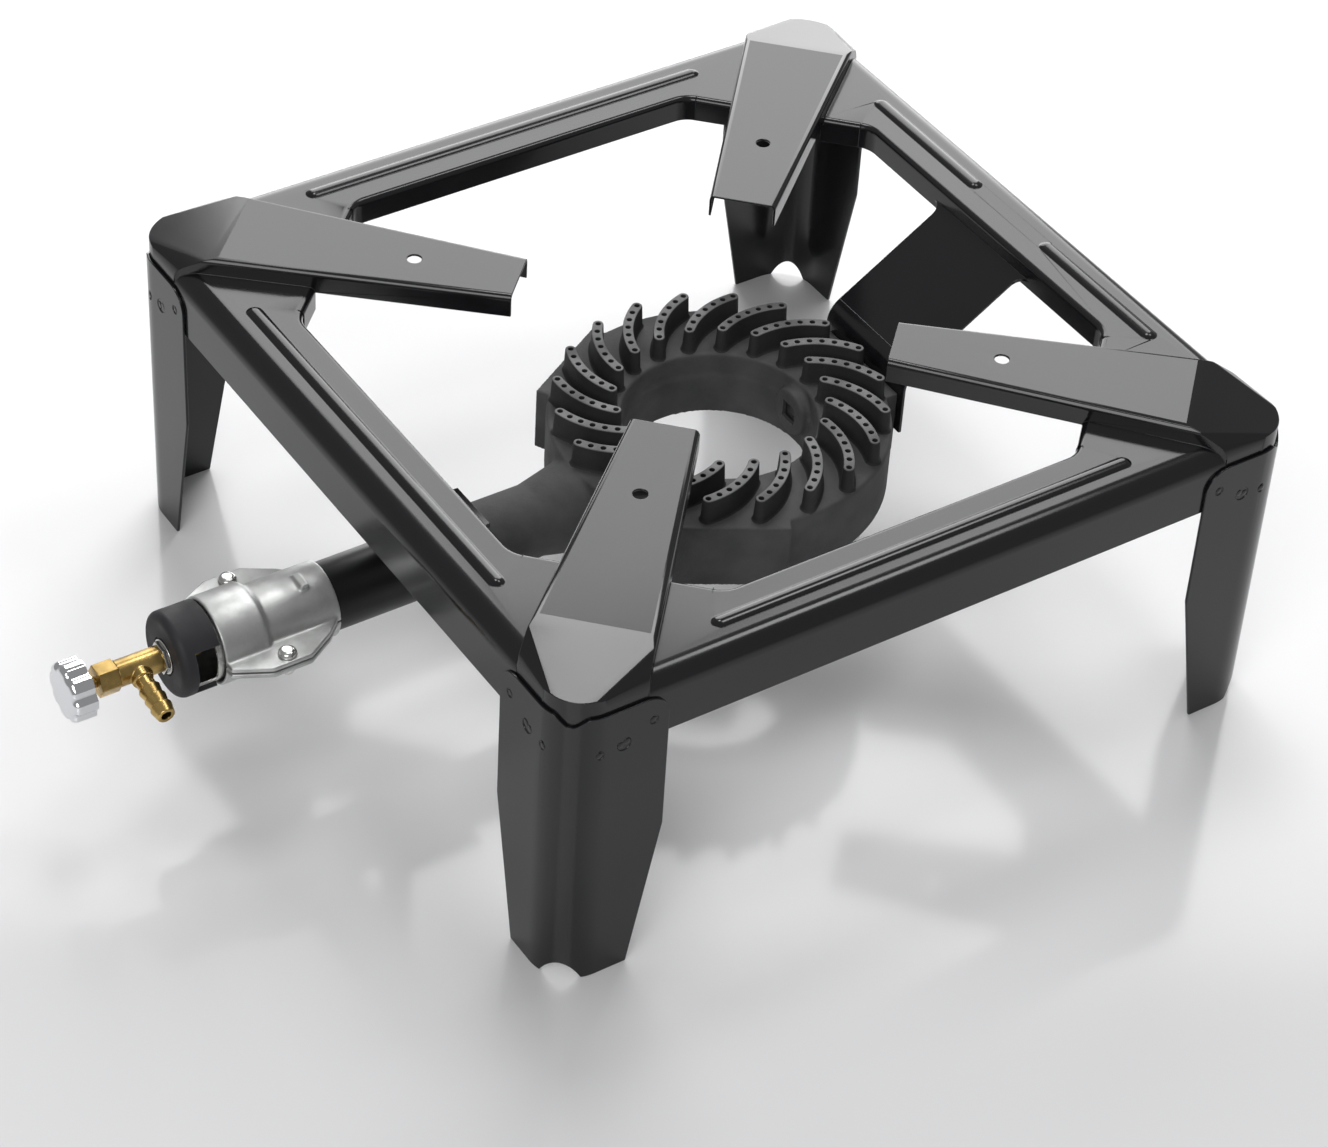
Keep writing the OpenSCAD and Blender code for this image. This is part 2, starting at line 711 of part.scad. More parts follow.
module rear_bolt() color([0.6, 0.6, 0.62]) in_place() translate([0, burner_back, 0]) {
    head = boss_face_r + strap_t;
    tip = pad_face_r + nut_recess - fit;
    bolt_axis(head) rotate([0, 0, 30]) hex(bolt_af, head_h);
    bolt_axis(tip) cylinder(d = bolt_d, h = head - tip);
}

module rear_nut() color([0.6, 0.6, 0.62]) in_place() translate([0, burner_back, 0])
    bolt_axis(pad_face_r + nut_recess) difference() {
        translate([-bolt_af / 2, -bolt_af / 2, 0]) cube([bolt_af, bolt_af, head_h]);
        translate([0, 0, -past]) cylinder(d = bolt_d + 2 * fit, h = head_h + 2 * past);
    }

module front_bracket() color([0.06, 0.06, 0.07]) in_place() difference() {
    top = bar_z - lip_round - past;
    bend = 2 * bracket_t;
    translate([-bracket_w / 2, -bracket_back, seat_z]) rotate([90, 0, 90]) linear_extrude(bracket_w) {
        translate([0, bend]) square([bracket_t, top - seat_z - bend]);
        translate([bend, 0]) square([bracket_back + front_bolt_y + bracket_toe - bend, bracket_t]);
        translate([bend, bend]) rotate(180) difference() {
            pie(bend);
            circle(bracket_t);
        }
    }
    translate([0, front_bolt_y, seat_z - past]) cylinder(d = bolt_d + 4 * fit, h = bracket_t + 2 * past);
}

module front_bolt() color([0.6, 0.6, 0.62]) in_place() translate([0, front_bolt_y, seat_z]) {
    translate([0, 0, bracket_t]) hex(bolt_af, head_h);
    translate([0, 0, -front_bolt_l + past]) cylinder(d = bolt_d, h = front_bolt_l - past + bracket_t);
}

module mixing_tube() color([0.08, 0.08, 0.09]) on_line(tube_start) difference() {
    cylinder(r = tube_r, h = tube_l);
    translate([0, 0, -past]) cylinder(r = tube_bore_r, h = tube_l + 2 * past);
}

// Clamp of two half shells round the tube's end, belled towards the air cap
clamp_seat_r = tube_r + fit;
screw_station = clamp_grip - screw_back;
bell_bore_r = bell_d / 2 - clamp_wall;
rim_r = bell_bore_r + clamp_wall / 2;
rim_start = bell_end - rim_back - sleeve_end;

module clamp_outer_2d() {
    l = clamp_grip + bell_l;
    r0 = clamp_seat_r + clamp_wall;
    flare = bell_d / 2 - r0;
    polygon([[0, 0], [r0, 0], [r0, clamp_grip], [bell_d / 2, clamp_grip + flare], [bell_d / 2, l], [0, l]]);
}

module clamp_bore_2d() {
    l = clamp_grip + bell_l;
    flare = bell_bore_r - clamp_seat_r;
    rim = rim_start - clamp_start;
    polygon([[0, -past], [clamp_seat_r, -past], [clamp_seat_r, clamp_grip],
        [bell_bore_r, clamp_grip + flare], [bell_bore_r, l + past], [0, l + past]]);
    translate([0, rim - fit]) square([rim_r + fit, sleeve_end + 2 * fit]);
}

// Plan outline of both ears, with the stations counted from the tube side
module ears_2d() {
    l = clamp_grip + bell_l;
    half = ear_span / 2;
    from = screw_station - ear_l / 2;
    corners = [[clamp_seat_r, 0], [half - ear_taper, from - ear_lead], [half, from], [half, from + ear_l],
        [half - ear_taper, l]];
    polygon(concat(corners, [for (k = [4:-1:0]) [-corners[k][0], corners[k][1]]]));
}

module clamp_half() {
    difference() {
        union() {
            rotate_extrude() clamp_outer_2d();
            translate([0, clamp_split / 2 + ear_t, 0]) rotate([90, 0, 0])
                linear_extrude(ear_t + past) ears_2d();
        }
        rotate_extrude() clamp_bore_2d();
        translate([-ear_span, clamp_split / 2 - bell_d, -past])
            cube([2 * ear_span, bell_d, clamp_grip + bell_l + 2 * past]);
        for (x = [-1, 1]) translate([x * screw_pitch / 2, bell_d, screw_station]) rotate([90, 0, 0])
            cylinder(d = screw_d + 4 * fit, h = 2 * bell_d);
    }
}

module clamp_upper() color([0.75, 0.76, 0.74]) on_line(clamp_start) {
    clamp_half();
    translate([nub[3], clamp_seat_r + clamp_wall / 2, nub[4]]) translate([-nub[0] / 2, 0, -nub[1] / 2])
        cube([nub[0], clamp_wall / 2 + nub[2], nub[1]]);
}

// Casting nub on the upper half: width, length, height, offset and station
nub = [10, 4, 1.5, 3.8, 13.6];

module clamp_lower() color([0.75, 0.76, 0.74]) on_line(clamp_start) rotate([0, 0, 180]) clamp_half();

module at_screws() {
    for (x = [-1, 1]) on_line(clamp_start + screw_station) translate([x * screw_pitch / 2, 0, 0])
        rotate([-90, 0, 0]) children();
}

// Height of the clamp screws' heads and of their nuts
screw_head_h = 3;
screw_nut_t = 3.2;

module clamp_screws() color([0.8, 0.8, 0.8]) at_screws() {
    face = clamp_split / 2 + ear_t;
    translate([0, 0, face]) rotate_extrude() shoulder_2d(screw_head_d / 2, screw_head_h, screw_head_h * 0.8);
    translate([0, 0, -face - screw_nut_t - screw_d / 2])
        cylinder(d = screw_d, h = 2 * face + screw_nut_t + screw_d / 2);
}

module clamp_nuts() color([0.8, 0.8, 0.8]) at_screws()
    translate([0, 0, -clamp_split / 2 - ear_t - screw_nut_t]) difference() {
        hex(screw_d * 1.75, screw_nut_t);
        translate([0, 0, -past]) cylinder(d = screw_d + 2 * fit, h = screw_nut_t + 2 * past);
    }

// Air windows as two sectors of a tube wall, from one station to another
module windows(r, z0, z1) {
    for (turn = [0, 180]) rotate([0, 0, window_aim - window_angle / 2 + turn])
        translate([0, 0, z0]) rotate_extrude(angle = window_angle)
            translate([r - 2 * sleeve_wall, 0]) square([3 * sleeve_wall, z1 - z0]);
}

module air_sleeve() color([0.45, 0.46, 0.47]) on_line(rim_start) difference() {
    l = sleeve_front - rim_start;
    window_z = cap_start - rim_start + window_back;
    union() {
        cylinder(d = sleeve_d, h = l);
        cylinder(r = rim_r, h = sleeve_end);
    }
    translate([0, 0, -past]) cylinder(d = sleeve_d - 2 * sleeve_wall, h = l - sleeve_end + past);
    cylinder(d = shank_d + 2 * fit, h = l + past);
    windows(sleeve_d / 2, window_z, window_z + window_l);
}

module sleeve_nut() color([0.75, 0.75, 0.72]) on_line(sleeve_front - sleeve_end - sleeve_nut_t)
    difference() {
        hex(lock_af, sleeve_nut_t);
        translate([0, 0, -past]) cylinder(d = shank_d + 2 * fit, h = sleeve_nut_t + 2 * past);
    }

module air_cap() color([0.24, 0.24, 0.25]) on_line(cap_start) difference() {
    rotate_extrude() shoulder_2d(cap_d / 2, cap_l, cap_round);
    translate([0, 0, -past]) cylinder(d = sleeve_d + 2 * cap_fit, h = cap_l - cap_end + past);
    cylinder(d = hub_d + 2 * cap_fit, h = cap_l + past);
    translate([0, 0, cap_l - cap_recess]) cylinder(d = cap_recess_d, h = cap_recess + past);
    windows(cap_d / 2, -past, window_l + window_back);
}

module lock_washer() color([0.8, 0.8, 0.78]) on_line(washer_start) difference() {
    cylinder(d = washer_d, h = washer_t);
    translate([0, 0, -past]) cylinder(d = hub_d + 2 * fit, h = washer_t + 2 * past);
}

module lock_nut() color([0.8, 0.8, 0.78]) on_line(washer_start + washer_t) difference() {
    hex(lock_af, lock_nut_t);
    translate([0, 0, -past]) cylinder(d = hub_d + 2 * fit, h = lock_nut_t + 2 * past);
}

// Inside of the valve: gas passage, needle seat, chamber and the injector on its shank
gas_bore_d = 4;
seat_bore_d = 2.2;
valve_chamber_d = stem_d + 2;
shank_tail = 4;
shank_start = sleeve_front - sleeve_end - sleeve_nut_t - shank_tail;
inlet_station = shoulder + inlet_at;
seat_station = inlet_station - valve_chamber_d / 2 - past;
jet_l = 8;
jet_bore_d = 1;

module injector() color([0.8, 0.65, 0.3]) on_line(shank_start - jet_l) difference() {
    union() {
        cylinder(d1 = gas_bore_d, d2 = shank_d * 0.8, h = jet_l * 0.4);
        translate([0, 0, jet_l * 0.4]) rotate([0, 0, 30]) hex(shank_d * 0.8, jet_l * 0.6);
        cylinder(d = gas_bore_d - 2 * fit, h = jet_l * 1.6);
    }
    translate([0, 0, -past]) cylinder(d = jet_bore_d, h = jet_l * 2);
}

// Hose barb, drawn along local Z from the valve's axis outwards
inlet_boss_l = 2;

module barb() {
    root = valve_d / 2 + inlet_boss_l;
    pitch = (barb_reach - root) / (barb_ridges + 1);
    cylinder(d = inlet_d, h = root);
    cylinder(d = barb_core_d, h = barb_reach);
    for (k = [1:barb_ridges]) translate([0, 0, root + k * pitch])
        cylinder(d1 = barb_d, d2 = barb_core_d - 2 * fit, h = pitch);
}

module valve_body() color([0.8, 0.62, 0.28]) difference() {
    union() {
        on_line(shank_start) cylinder(d = shank_d, h = sleeve_front - shank_start);
        on_line(sleeve_front) cylinder(d = hub_d, h = shoulder - sleeve_front);
        on_line(shoulder) cylinder(d = valve_d, h = valve_l);
        on_line(inlet_station) rotate([0, 90, -barb_droop]) barb();
    }
    on_line(shank_start - past) cylinder(d = gas_bore_d, h = seat_station - shank_start - past);
    on_line(shank_start) cylinder(d = seat_bore_d, h = seat_station - shank_start + past);
    on_line(seat_station) cylinder(d = valve_chamber_d, h = gland_start - seat_station + past);
    on_line(inlet_station) rotate([0, 90, -barb_droop]) cylinder(d = barb_bore, h = barb_reach + past);
}

module gland_nut() color([0.8, 0.62, 0.28]) on_line(gland_start) difference() {
    hex(gland_af, gland_l);
    translate([0, 0, -past]) cylinder(d = stem_d + 2 * fit, h = gland_l + 2 * past);
}

// Length of the packing behind the gland nut
packing_l = 3;

module stem_packing() color([0.9, 0.9, 0.86]) on_line(gland_start - packing_l) difference() {
    cylinder(d = valve_chamber_d - 2 * fit, h = packing_l);
    translate([0, 0, -past]) cylinder(d = stem_d + 2 * fit, h = packing_l + 2 * past);
}

module valve_stem() color([0.7, 0.58, 0.3]) on_line(seat_station) {
    needle = stem_d / 2;
    translate([0, 0, fit]) cylinder(d1 = seat_bore_d - 4 * fit, d2 = stem_d, h = needle);
    translate([0, 0, needle + fit])
        cylinder(d = stem_d, h = knob_start + knob_l * 0.75 - seat_station - needle - fit);
}

module knob() color([0.85, 0.85, 0.87]) on_line(knob_start) difference() {
    notch_d = knob_d / 3;
    notch_at = knob_d * 0.62;
    rotate_extrude() shoulder_2d(knob_d / 2, knob_l, knob_l / 4);
    for (k = [0:knob_lobes - 1]) rotate([0, 0, (k + 0.5) * 360 / knob_lobes])
        translate([notch_at, 0, -past]) cylinder(d = notch_d, h = knob_l + 2 * past);
    translate([0, 0, -past]) cylinder(d = stem_d + 2 * fit, h = knob_l * 0.75 + past);
}

top_frame();
leg_front_left();
leg_front_right();
leg_rear_left();
leg_rear_right();
burner();
rear_strap();
rear_bolt();
rear_nut();
front_bracket();
front_bolt();
mixing_tube();
clamp_upper();
clamp_lower();
clamp_screws();
clamp_nuts();
air_sleeve();
sleeve_nut();
air_cap();
lock_washer();
lock_nut();
injector();
valve_body();
gland_nut();
stem_packing();
valve_stem();
knob();
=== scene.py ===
import json
import math

import bmesh
import bpy
from bpy.props import FloatProperty, FloatVectorProperty, IntProperty, PointerProperty
from mathutils import Matrix, Vector
from mathutils.bvhtree import BVHTree


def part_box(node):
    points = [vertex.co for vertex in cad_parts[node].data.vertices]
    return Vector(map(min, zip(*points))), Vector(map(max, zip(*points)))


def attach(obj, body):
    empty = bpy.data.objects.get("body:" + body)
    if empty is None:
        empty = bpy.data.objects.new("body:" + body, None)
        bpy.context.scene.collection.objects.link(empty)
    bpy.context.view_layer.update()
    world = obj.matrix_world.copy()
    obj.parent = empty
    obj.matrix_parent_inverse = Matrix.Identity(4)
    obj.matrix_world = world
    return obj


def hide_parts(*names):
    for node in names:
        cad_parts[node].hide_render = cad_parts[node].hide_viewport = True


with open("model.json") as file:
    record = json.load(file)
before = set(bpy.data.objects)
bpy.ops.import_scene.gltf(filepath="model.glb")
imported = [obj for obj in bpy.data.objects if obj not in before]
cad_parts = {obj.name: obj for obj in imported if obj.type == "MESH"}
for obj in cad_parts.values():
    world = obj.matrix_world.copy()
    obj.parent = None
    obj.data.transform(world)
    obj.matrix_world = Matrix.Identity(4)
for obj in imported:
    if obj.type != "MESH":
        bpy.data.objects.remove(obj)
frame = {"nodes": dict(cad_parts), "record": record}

bl_info = {
    "name": "Low Gas Stove",
    "version": (1, 0, 0),
    "blender": (4, 5, 0),
    "location": "View3D > Sidebar > Stove",
    "description": "Dresses a low square gas stove: enamelled top and legs, swirl-vane burner and gas line",
    "category": "Object",
}

MM = 0.001
STAND, CAP, SPINDLE = "stand", "air_cap", "spindle"

# Places read from the frame: the ring's axis, its levels and the gas line's axis
burner_low, burner_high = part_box("burner")
tube_low, tube_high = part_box("mixing_tube")
knob_low, knob_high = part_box("knob")
LINE_Z = (tube_low.z + tube_high.z) / 2
RING_X = (burner_low.x + burner_high.x) / 2

# Colours of worn edges
RUBBED_IRON = (0.21, 0.21, 0.215)
RUBBED_PAINT = (0.12, 0.12, 0.12)
RUBBED_ENAMEL = (0.09, 0.09, 0.10)


# Sizes and colours that a user would change

class StoveSheetSettings(bpy.types.PropertyGroup):
    fold: FloatProperty(name="Fold", description="Width of the soft creases between caps and rests",
                        default=4.5 * MM, unit="LENGTH")
    edge: FloatProperty(name="Edge", description="Width of the eased edges of the top and legs",
                        default=0.35 * MM, unit="LENGTH")
    strap_edge: FloatProperty(name="Strap edge", description="Width of the eased edges of strap and bracket",
                              default=0.3 * MM, unit="LENGTH")
    stray: FloatProperty(name="Stray", description="Furthest that easing may leave the top's surface",
                         default=1.3 * MM, unit="LENGTH")


class StoveBurnerSettings(bpy.types.PropertyGroup):
    ring_radius: FloatProperty(name="Ring radius", description="Outer radius of the cast ring",
                               default=84 * MM, unit="LENGTH")
    bore_radius: FloatProperty(name="Bore radius", description="Radius of the hole through the ring",
                               default=46.5 * MM, unit="LENGTH")
    ring_height: FloatProperty(name="Ring height", description="Height of the ring below its vanes",
                               default=35 * MM, unit="LENGTH")
    boss_reach: FloatProperty(name="Boss reach", description="Distance of a boss's face from the ring's axis",
                              default=85.4 * MM, unit="LENGTH")
    boss_width: FloatProperty(name="Boss width", description="Width of the three flat bosses",
                              default=58 * MM, unit="LENGTH")
    pad_radius: FloatProperty(name="Pad radius", description="Radius of the pad round the square nut",
                              default=12 * MM, unit="LENGTH")
    pad_height: FloatProperty(name="Pad height", description="Height of that pad above the bore",
                              default=5 * MM, unit="LENGTH")
    bolt_height: FloatProperty(name="Bolt height", description="Height of the rear bolt above the underside",
                               default=20 * MM, unit="LENGTH")
    neck_radius: FloatProperty(name="Neck radius", description="Outer radius of the neck",
                               default=18 * MM, unit="LENGTH")
    neck_root_radius: FloatProperty(name="Neck root radius", description="Radius of the neck at the ring",
                                    default=23 * MM, unit="LENGTH")
    pocket: FloatProperty(name="Pocket", description="Width of the square pocket round the nut",
                          default=10.1 * MM, unit="LENGTH")
    neck_taper: FloatProperty(name="Neck taper", description="Length over which the neck narrows",
                              default=23.5 * MM, unit="LENGTH")
    edge: FloatProperty(name="Edge", description="Chamfer round the deck", default=1 * MM, unit="LENGTH")
    foot: FloatProperty(name="Foot", description="Chamfer round the underside", default=2 * MM, unit="LENGTH")
    ledge: FloatProperty(name="Ledge", description="Step by which the bore is wider in its upper third",
                         default=1.2 * MM, unit="LENGTH")
    voxel: FloatProperty(name="Voxel", description="Voxel size that blends the casting's forms",
                         default=0.96 * MM, unit="LENGTH")


class StoveVaneSettings(bpy.types.PropertyGroup):
    count: IntProperty(name="Vanes", description="Number of vanes round the ring", default=20)
    height: FloatProperty(name="Height", description="Height of the vanes above the deck",
                          default=12.6 * MM, unit="LENGTH")
    width: FloatProperty(name="Width", description="Width of a vane across its top",
                         default=5.3 * MM, unit="LENGTH")
    draft: FloatProperty(name="Draft", description="Widening of each side down to the deck",
                         default=0.7 * MM, unit="LENGTH")
    outer_radius: FloatProperty(name="Outer port", description="Radius of the outermost port",
                                default=79.3 * MM, unit="LENGTH")
    inner_radius: FloatProperty(name="Inner port", description="Radius of the innermost port",
                                default=52.7 * MM, unit="LENGTH")
    twist: FloatProperty(name="Twist", description="Turn about the ring's axis between those ports",
                         default=math.radians(21.4), subtype="ANGLE")
    bend_radius: FloatProperty(name="Bend", description="Radius of the vane's own curve",
                               default=43.9 * MM, unit="LENGTH")
    phase: FloatProperty(name="Phase", description="Direction of the first vane's outer port",
                         default=math.radians(-37.7), subtype="ANGLE")
    ports: IntProperty(name="Ports", description="Ports in each vane", default=7)
    port_radius: FloatProperty(name="Port radius", description="Radius of a port",
                               default=1.3 * MM, unit="LENGTH")


class StoveLegSettings(bpy.types.PropertyGroup):
    height: FloatProperty(name="Height", description="Height of a leg", default=157.5 * MM, unit="LENGTH")
    sheet: FloatProperty(name="Sheet", description="Thickness of its sheet", default=1.5 * MM, unit="LENGTH")
    width: FloatProperty(name="Width", description="Width of each plate at its top, from the corner",
                         default=53 * MM, unit="LENGTH")
    foot: FloatProperty(name="Foot", description="Width of each plate on the floor, from the corner",
                        default=37.5 * MM, unit="LENGTH")
    taper: FloatProperty(name="Taper", description="Height over which a plate widens from its foot",
                         default=80 * MM, unit="LENGTH")
    bend: FloatProperty(name="Bend", description="Outer radius of the bend between the plates",
                        default=21.5 * MM, unit="LENGTH")
    shoulder: FloatProperty(name="Shoulder", description="Radius of the free top corner of a plate",
                            default=12 * MM, unit="LENGTH")
    dip: FloatVectorProperty(name="Dip", description="Width and depth of the dip at the top of the bend",
                             default=(19 * MM, 5 * MM), size=2)
    arch: FloatVectorProperty(name="Arch", description="Width and height of the arch between the feet",
                              default=(20 * MM, 8.8 * MM), size=2)


class StoveMarkSettings(bpy.types.PropertyGroup):
    weld: FloatVectorProperty(name="Outer weld", description="Distance from the leg's corner, height above "
                              "the skirt's edge and radius of the outer weld mark",
                              default=(45.05 * MM, 10.88 * MM, 1.7 * MM), size=3)
    clinch: FloatVectorProperty(name="Clinch", description="The same for each half of the clinch mark",
                                default=(30.21 * MM, 3.52 * MM, 1.9 * MM), size=3)
    inner: FloatVectorProperty(name="Inner weld", description="The same for the inner weld mark",
                               default=(18.02 * MM, 1.92 * MM, 1.7 * MM), size=3)
    skirt: FloatProperty(name="Skirt edge", description="Height of the skirt's lower edge above the floor",
                         default=134 * MM, unit="LENGTH")
    depth: FloatProperty(name="Depth", description="Depth of the pressed marks in the sheet",
                         default=0.5 * MM, unit="LENGTH")


class StoveGasLineSettings(bpy.types.PropertyGroup):
    clamp_voxel: FloatProperty(name="Clamp voxel", description="Voxel size that blends the clamp's castings",
                               default=0.5 * MM, unit="LENGTH")
    clamp_rounds: IntProperty(name="Clamp rounds", description="Rounds of smoothing on them", default=16)
    valve_voxel: FloatProperty(name="Valve voxel", description="Voxel size that blends the valve's body",
                               default=0.3 * MM, unit="LENGTH")
    valve_rounds: IntProperty(name="Valve rounds", description="Rounds of smoothing on it", default=2)
    window_start: FloatProperty(name="Window start", description="Angle above level at which an air window's "
                                "upper part starts", default=math.radians(2), subtype="ANGLE")
    window_span: FloatProperty(name="Window span", description="Angle of that upper part",
                               default=math.radians(32), subtype="ANGLE")
    window_depth: FloatProperty(name="Window depth", description="Reach of a window from the cap's rear rim",
                                default=12.5 * MM, unit="LENGTH")
    shell_edge: FloatProperty(name="Shell edge", description="Width of the eased edges of cap and sleeve",
                              default=0.25 * MM, unit="LENGTH")
    gland_edge: FloatProperty(name="Gland edge", description="Width of the eased edges of the gland nut",
                              default=0.5 * MM, unit="LENGTH")
    nut_edge: FloatProperty(name="Nut edge", description="Width of the eased edges of bolts, screws and nuts",
                            default=0.3 * MM, unit="LENGTH")
    thread_radius: FloatProperty(name="Thread radius", description="Radius of the clamp screws' threads",
                                 default=1.85 * MM, unit="LENGTH")
    thread_pitch: FloatProperty(name="Thread pitch", description="Pitch of those threads",
                                default=0.7 * MM, unit="LENGTH")


class StoveKnobSettings(bpy.types.PropertyGroup):
    lobes: IntProperty(name="Lobes", description="Lobes round the knob", default=8)
    notch_radius: FloatProperty(name="Notch radius", description="Radius of a notch between two lobes",
                                default=4.83 * MM, unit="LENGTH")
    notch_reach: FloatProperty(name="Notch reach", description="Distance of a notch's centre from the axis",
                               default=17.98 * MM, unit="LENGTH")
    rounding: FloatProperty(name="Rounding", description="Radius round the knob's front",
                            default=3 * MM, unit="LENGTH")


class StoveFinishSettings(bpy.types.PropertyGroup):
    enamel: FloatVectorProperty(name="Enamel", description="Colour of the black enamel",
                                default=(0.006, 0.006, 0.007), size=3, subtype="COLOR")
    iron: FloatVectorProperty(name="Cast iron", description="Colour of the painted casting",
                              default=(0.075, 0.075, 0.077), size=3, subtype="COLOR")
    zinc: FloatVectorProperty(name="Zinc casting", description="Colour of the clamp's castings",
                              default=(0.62, 0.63, 0.62), size=3, subtype="COLOR")
    plate: FloatVectorProperty(name="Zinc plate", description="Colour of plated screws and nuts",
                               default=(0.66, 0.66, 0.64), size=3, subtype="COLOR")
    brass: FloatVectorProperty(name="Brass", description="Colour of the valve's brass",
                               default=(0.66, 0.45, 0.16), size=3, subtype="COLOR")
    chrome: FloatVectorProperty(name="Chrome", description="Colour of the plated knob",
                                default=(0.82, 0.83, 0.85), size=3, subtype="COLOR")
    cap: FloatVectorProperty(name="Air cap", description="Colour of the dark air cap",
                             default=(0.022, 0.022, 0.025), size=3, subtype="COLOR")
    # Painted shade: the rear bolt and its nut are plated like the other screws, but they are coloured this
    # dark for the shade they sit in under the ring and in its pocket
    steel: FloatVectorProperty(name="Steel in painted shade", description="Colour of the rear bolt and its nut",
                               default=(0.10, 0.10, 0.10), size=3, subtype="COLOR")
    packing: FloatVectorProperty(name="Packing", description="Colour of the stem packing",
                                 default=(0.7, 0.7, 0.66), size=3, subtype="COLOR")
    packing_shade: FloatVectorProperty(name="Packing shade", description="Colour of its darker patches",
                                       default=(0.55, 0.54, 0.5), size=3, subtype="COLOR")


class StoveStageSettings(bpy.types.PropertyGroup):
    azimuth: FloatProperty(name="Azimuth", description="Direction of the camera round the stove",
                           default=math.radians(54.74), subtype="ANGLE")
    elevation: FloatProperty(name="Elevation", description="Height of the camera's direction",
                             default=math.radians(40.90), subtype="ANGLE")
    roll: FloatProperty(name="Roll", description="Turn of the picture about the view's axis",
                        default=math.radians(3.78), subtype="ANGLE")
    distance: FloatProperty(name="Distance", description="Distance of the camera from its target",
                            default=1.943, unit="LENGTH")
    target: FloatVectorProperty(name="Target", description="Point that the camera looks at",
                                default=(-0.0145, 0.0663, 0.0), size=3, subtype="TRANSLATION")
    lens: FloatProperty(name="Lens", description="Focal length on a 36 mm wide sensor, in millimetres",
                        default=104.9)
    floor: FloatVectorProperty(name="Floor", description="Colour of the plain floor",
                               default=(0.85, 0.85, 0.86), size=3, subtype="COLOR")
    world: FloatProperty(name="World", description="Strength of the even light from all round", default=0.3)


# Meshes and pieces

def add_piece(name, mesh, body, material, replaces=()):
    """Links a finished mesh as a piece that rides on a body and takes a slot's finish."""
    piece = bpy.data.objects.new(name, mesh)
    bpy.context.scene.collection.objects.link(piece)
    mesh.materials.clear()
    mesh.materials.append(material)
    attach(piece, body)
    if replaces:
        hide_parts(*replaces)
    return piece


def finished_mesh(mesh, crease):
    """Smooth shading that keeps flat faces flat, and edges sharp where they turn past the crease angle."""
    mesh.shade_smooth()
    mesh.set_sharp_from_angle(angle=math.radians(crease))
    return applied(mesh, ("WEIGHTED_NORMAL", {"weight": 50, "keep_sharp": True}))


def mesh_from(build):
    """A new mesh from a function that fills a bmesh, with its doubles merged and its faces outward."""
    form = bmesh.new()
    build(form)
    bmesh.ops.remove_doubles(form, verts=form.verts, dist=0.001 * MM)
    bmesh.ops.recalc_face_normals(form, faces=form.faces)
    mesh = bpy.data.meshes.new("form")
    form.to_mesh(mesh)
    form.free()
    return mesh


def merged_copy(node):
    """A copy of a CAD node's mesh with its triangles joined and its flat faces made whole."""
    flat = math.radians(0.4)
    form = bmesh.new()
    form.from_mesh(frame["nodes"][node].data)
    bmesh.ops.remove_doubles(form, verts=form.verts, dist=0.002 * MM)
    bmesh.ops.dissolve_limit(form, angle_limit=flat, verts=form.verts, edges=form.edges)
    mesh = bpy.data.meshes.new(node)
    form.to_mesh(mesh)
    form.free()
    return mesh


def applied(mesh, *steps):
    """Runs modifiers over a mesh and returns the plain result. A step is (type, settings)."""
    maker = bpy.data.objects.new("maker", mesh)
    bpy.context.scene.collection.objects.link(maker)
    for kind, settings in steps:
        modifier = maker.modifiers.new(kind.lower(), kind)
        for key, value in settings.items():
            setattr(modifier, key, value)
    depsgraph = bpy.context.evaluated_depsgraph_get()
    result = bpy.data.meshes.new_from_object(maker.evaluated_get(depsgraph), depsgraph=depsgraph)
    bpy.data.objects.remove(maker)
    return result


def eased(mesh, width, segments=2, angle=30):
    """The mesh with its sharp edges bevelled and its flat faces shaded flat."""
    bevel = {"width": width, "segments": segments, "limit_method": "ANGLE",
             "angle_limit": math.radians(angle), "use_clamp_overlap": False}
    return finished_mesh(applied(mesh, ("BEVEL", bevel)), 50)


def folded(mesh, width, segments):
    """The mesh with the long folds between its large faces rounded, as pressing leaves them."""
    least, most = math.radians(5), math.radians(60)
    shortest, smallest = 15 * MM, 150 * MM * MM
    form = bmesh.new()
    form.from_mesh(mesh)
    folds = []
    for edge in form.edges:
        length = edge.calc_length()
        if len(edge.link_faces) == 2 and length > shortest and least < edge.calc_face_angle() < most:
            if min(face.calc_area() for face in edge.link_faces) > max(smallest, 2 * width * length):
                folds.append(edge)
    cut(form, {face for edge in folds for face in edge.link_faces})
    bmesh.ops.bevel(form, geom=folds, offset=width, offset_type="OFFSET", segments=segments, profile=0.5,
                    affect="EDGES", clamp_overlap=False)
    form.to_mesh(mesh)
    form.free()
    return mesh


def cut(form, whole):
    """Cuts the faces of many corners, which would render with folded-over triangles after a bevel."""
    many = [face for face in form.faces if len(face.verts) > 4 and face not in whole]
    bmesh.ops.triangulate(form, faces=many)


def kept_near(mesh, node, reach):
    """The mesh with each vertex that a bevel threw further than reach from a CAD node put back on it."""
    source = merged_copy(node)
    surface = BVHTree.FromPolygons([vert.co for vert in source.vertices],
                                   [face.vertices[:] for face in source.polygons])
    for vert in mesh.vertices:
        place, _, _, far = surface.find_nearest(vert.co)
        if far > reach:
            vert.co = place
    return mesh


def carved(mesh, build):
    """The mesh without a form, which a function fills into a bmesh."""
    cutter = bpy.data.objects.new("cutter", mesh_from(build))
    bpy.context.scene.collection.objects.link(cutter)
    result = applied(mesh, ("BOOLEAN", {"operation": "DIFFERENCE", "object": cutter, "solver": "EXACT"}))
    bpy.data.objects.remove(cutter)
    return result


def cast(mesh, voxel, rounds):
    """The mesh remade as a casting: its forms blended together and its edges softened."""
    blended = applied(mesh, ("REMESH", {"mode": "VOXEL", "voxel_size": voxel}),
                      ("SMOOTH", {"factor": 0.5, "iterations": rounds}))
    blended.shade_smooth()
    return blended


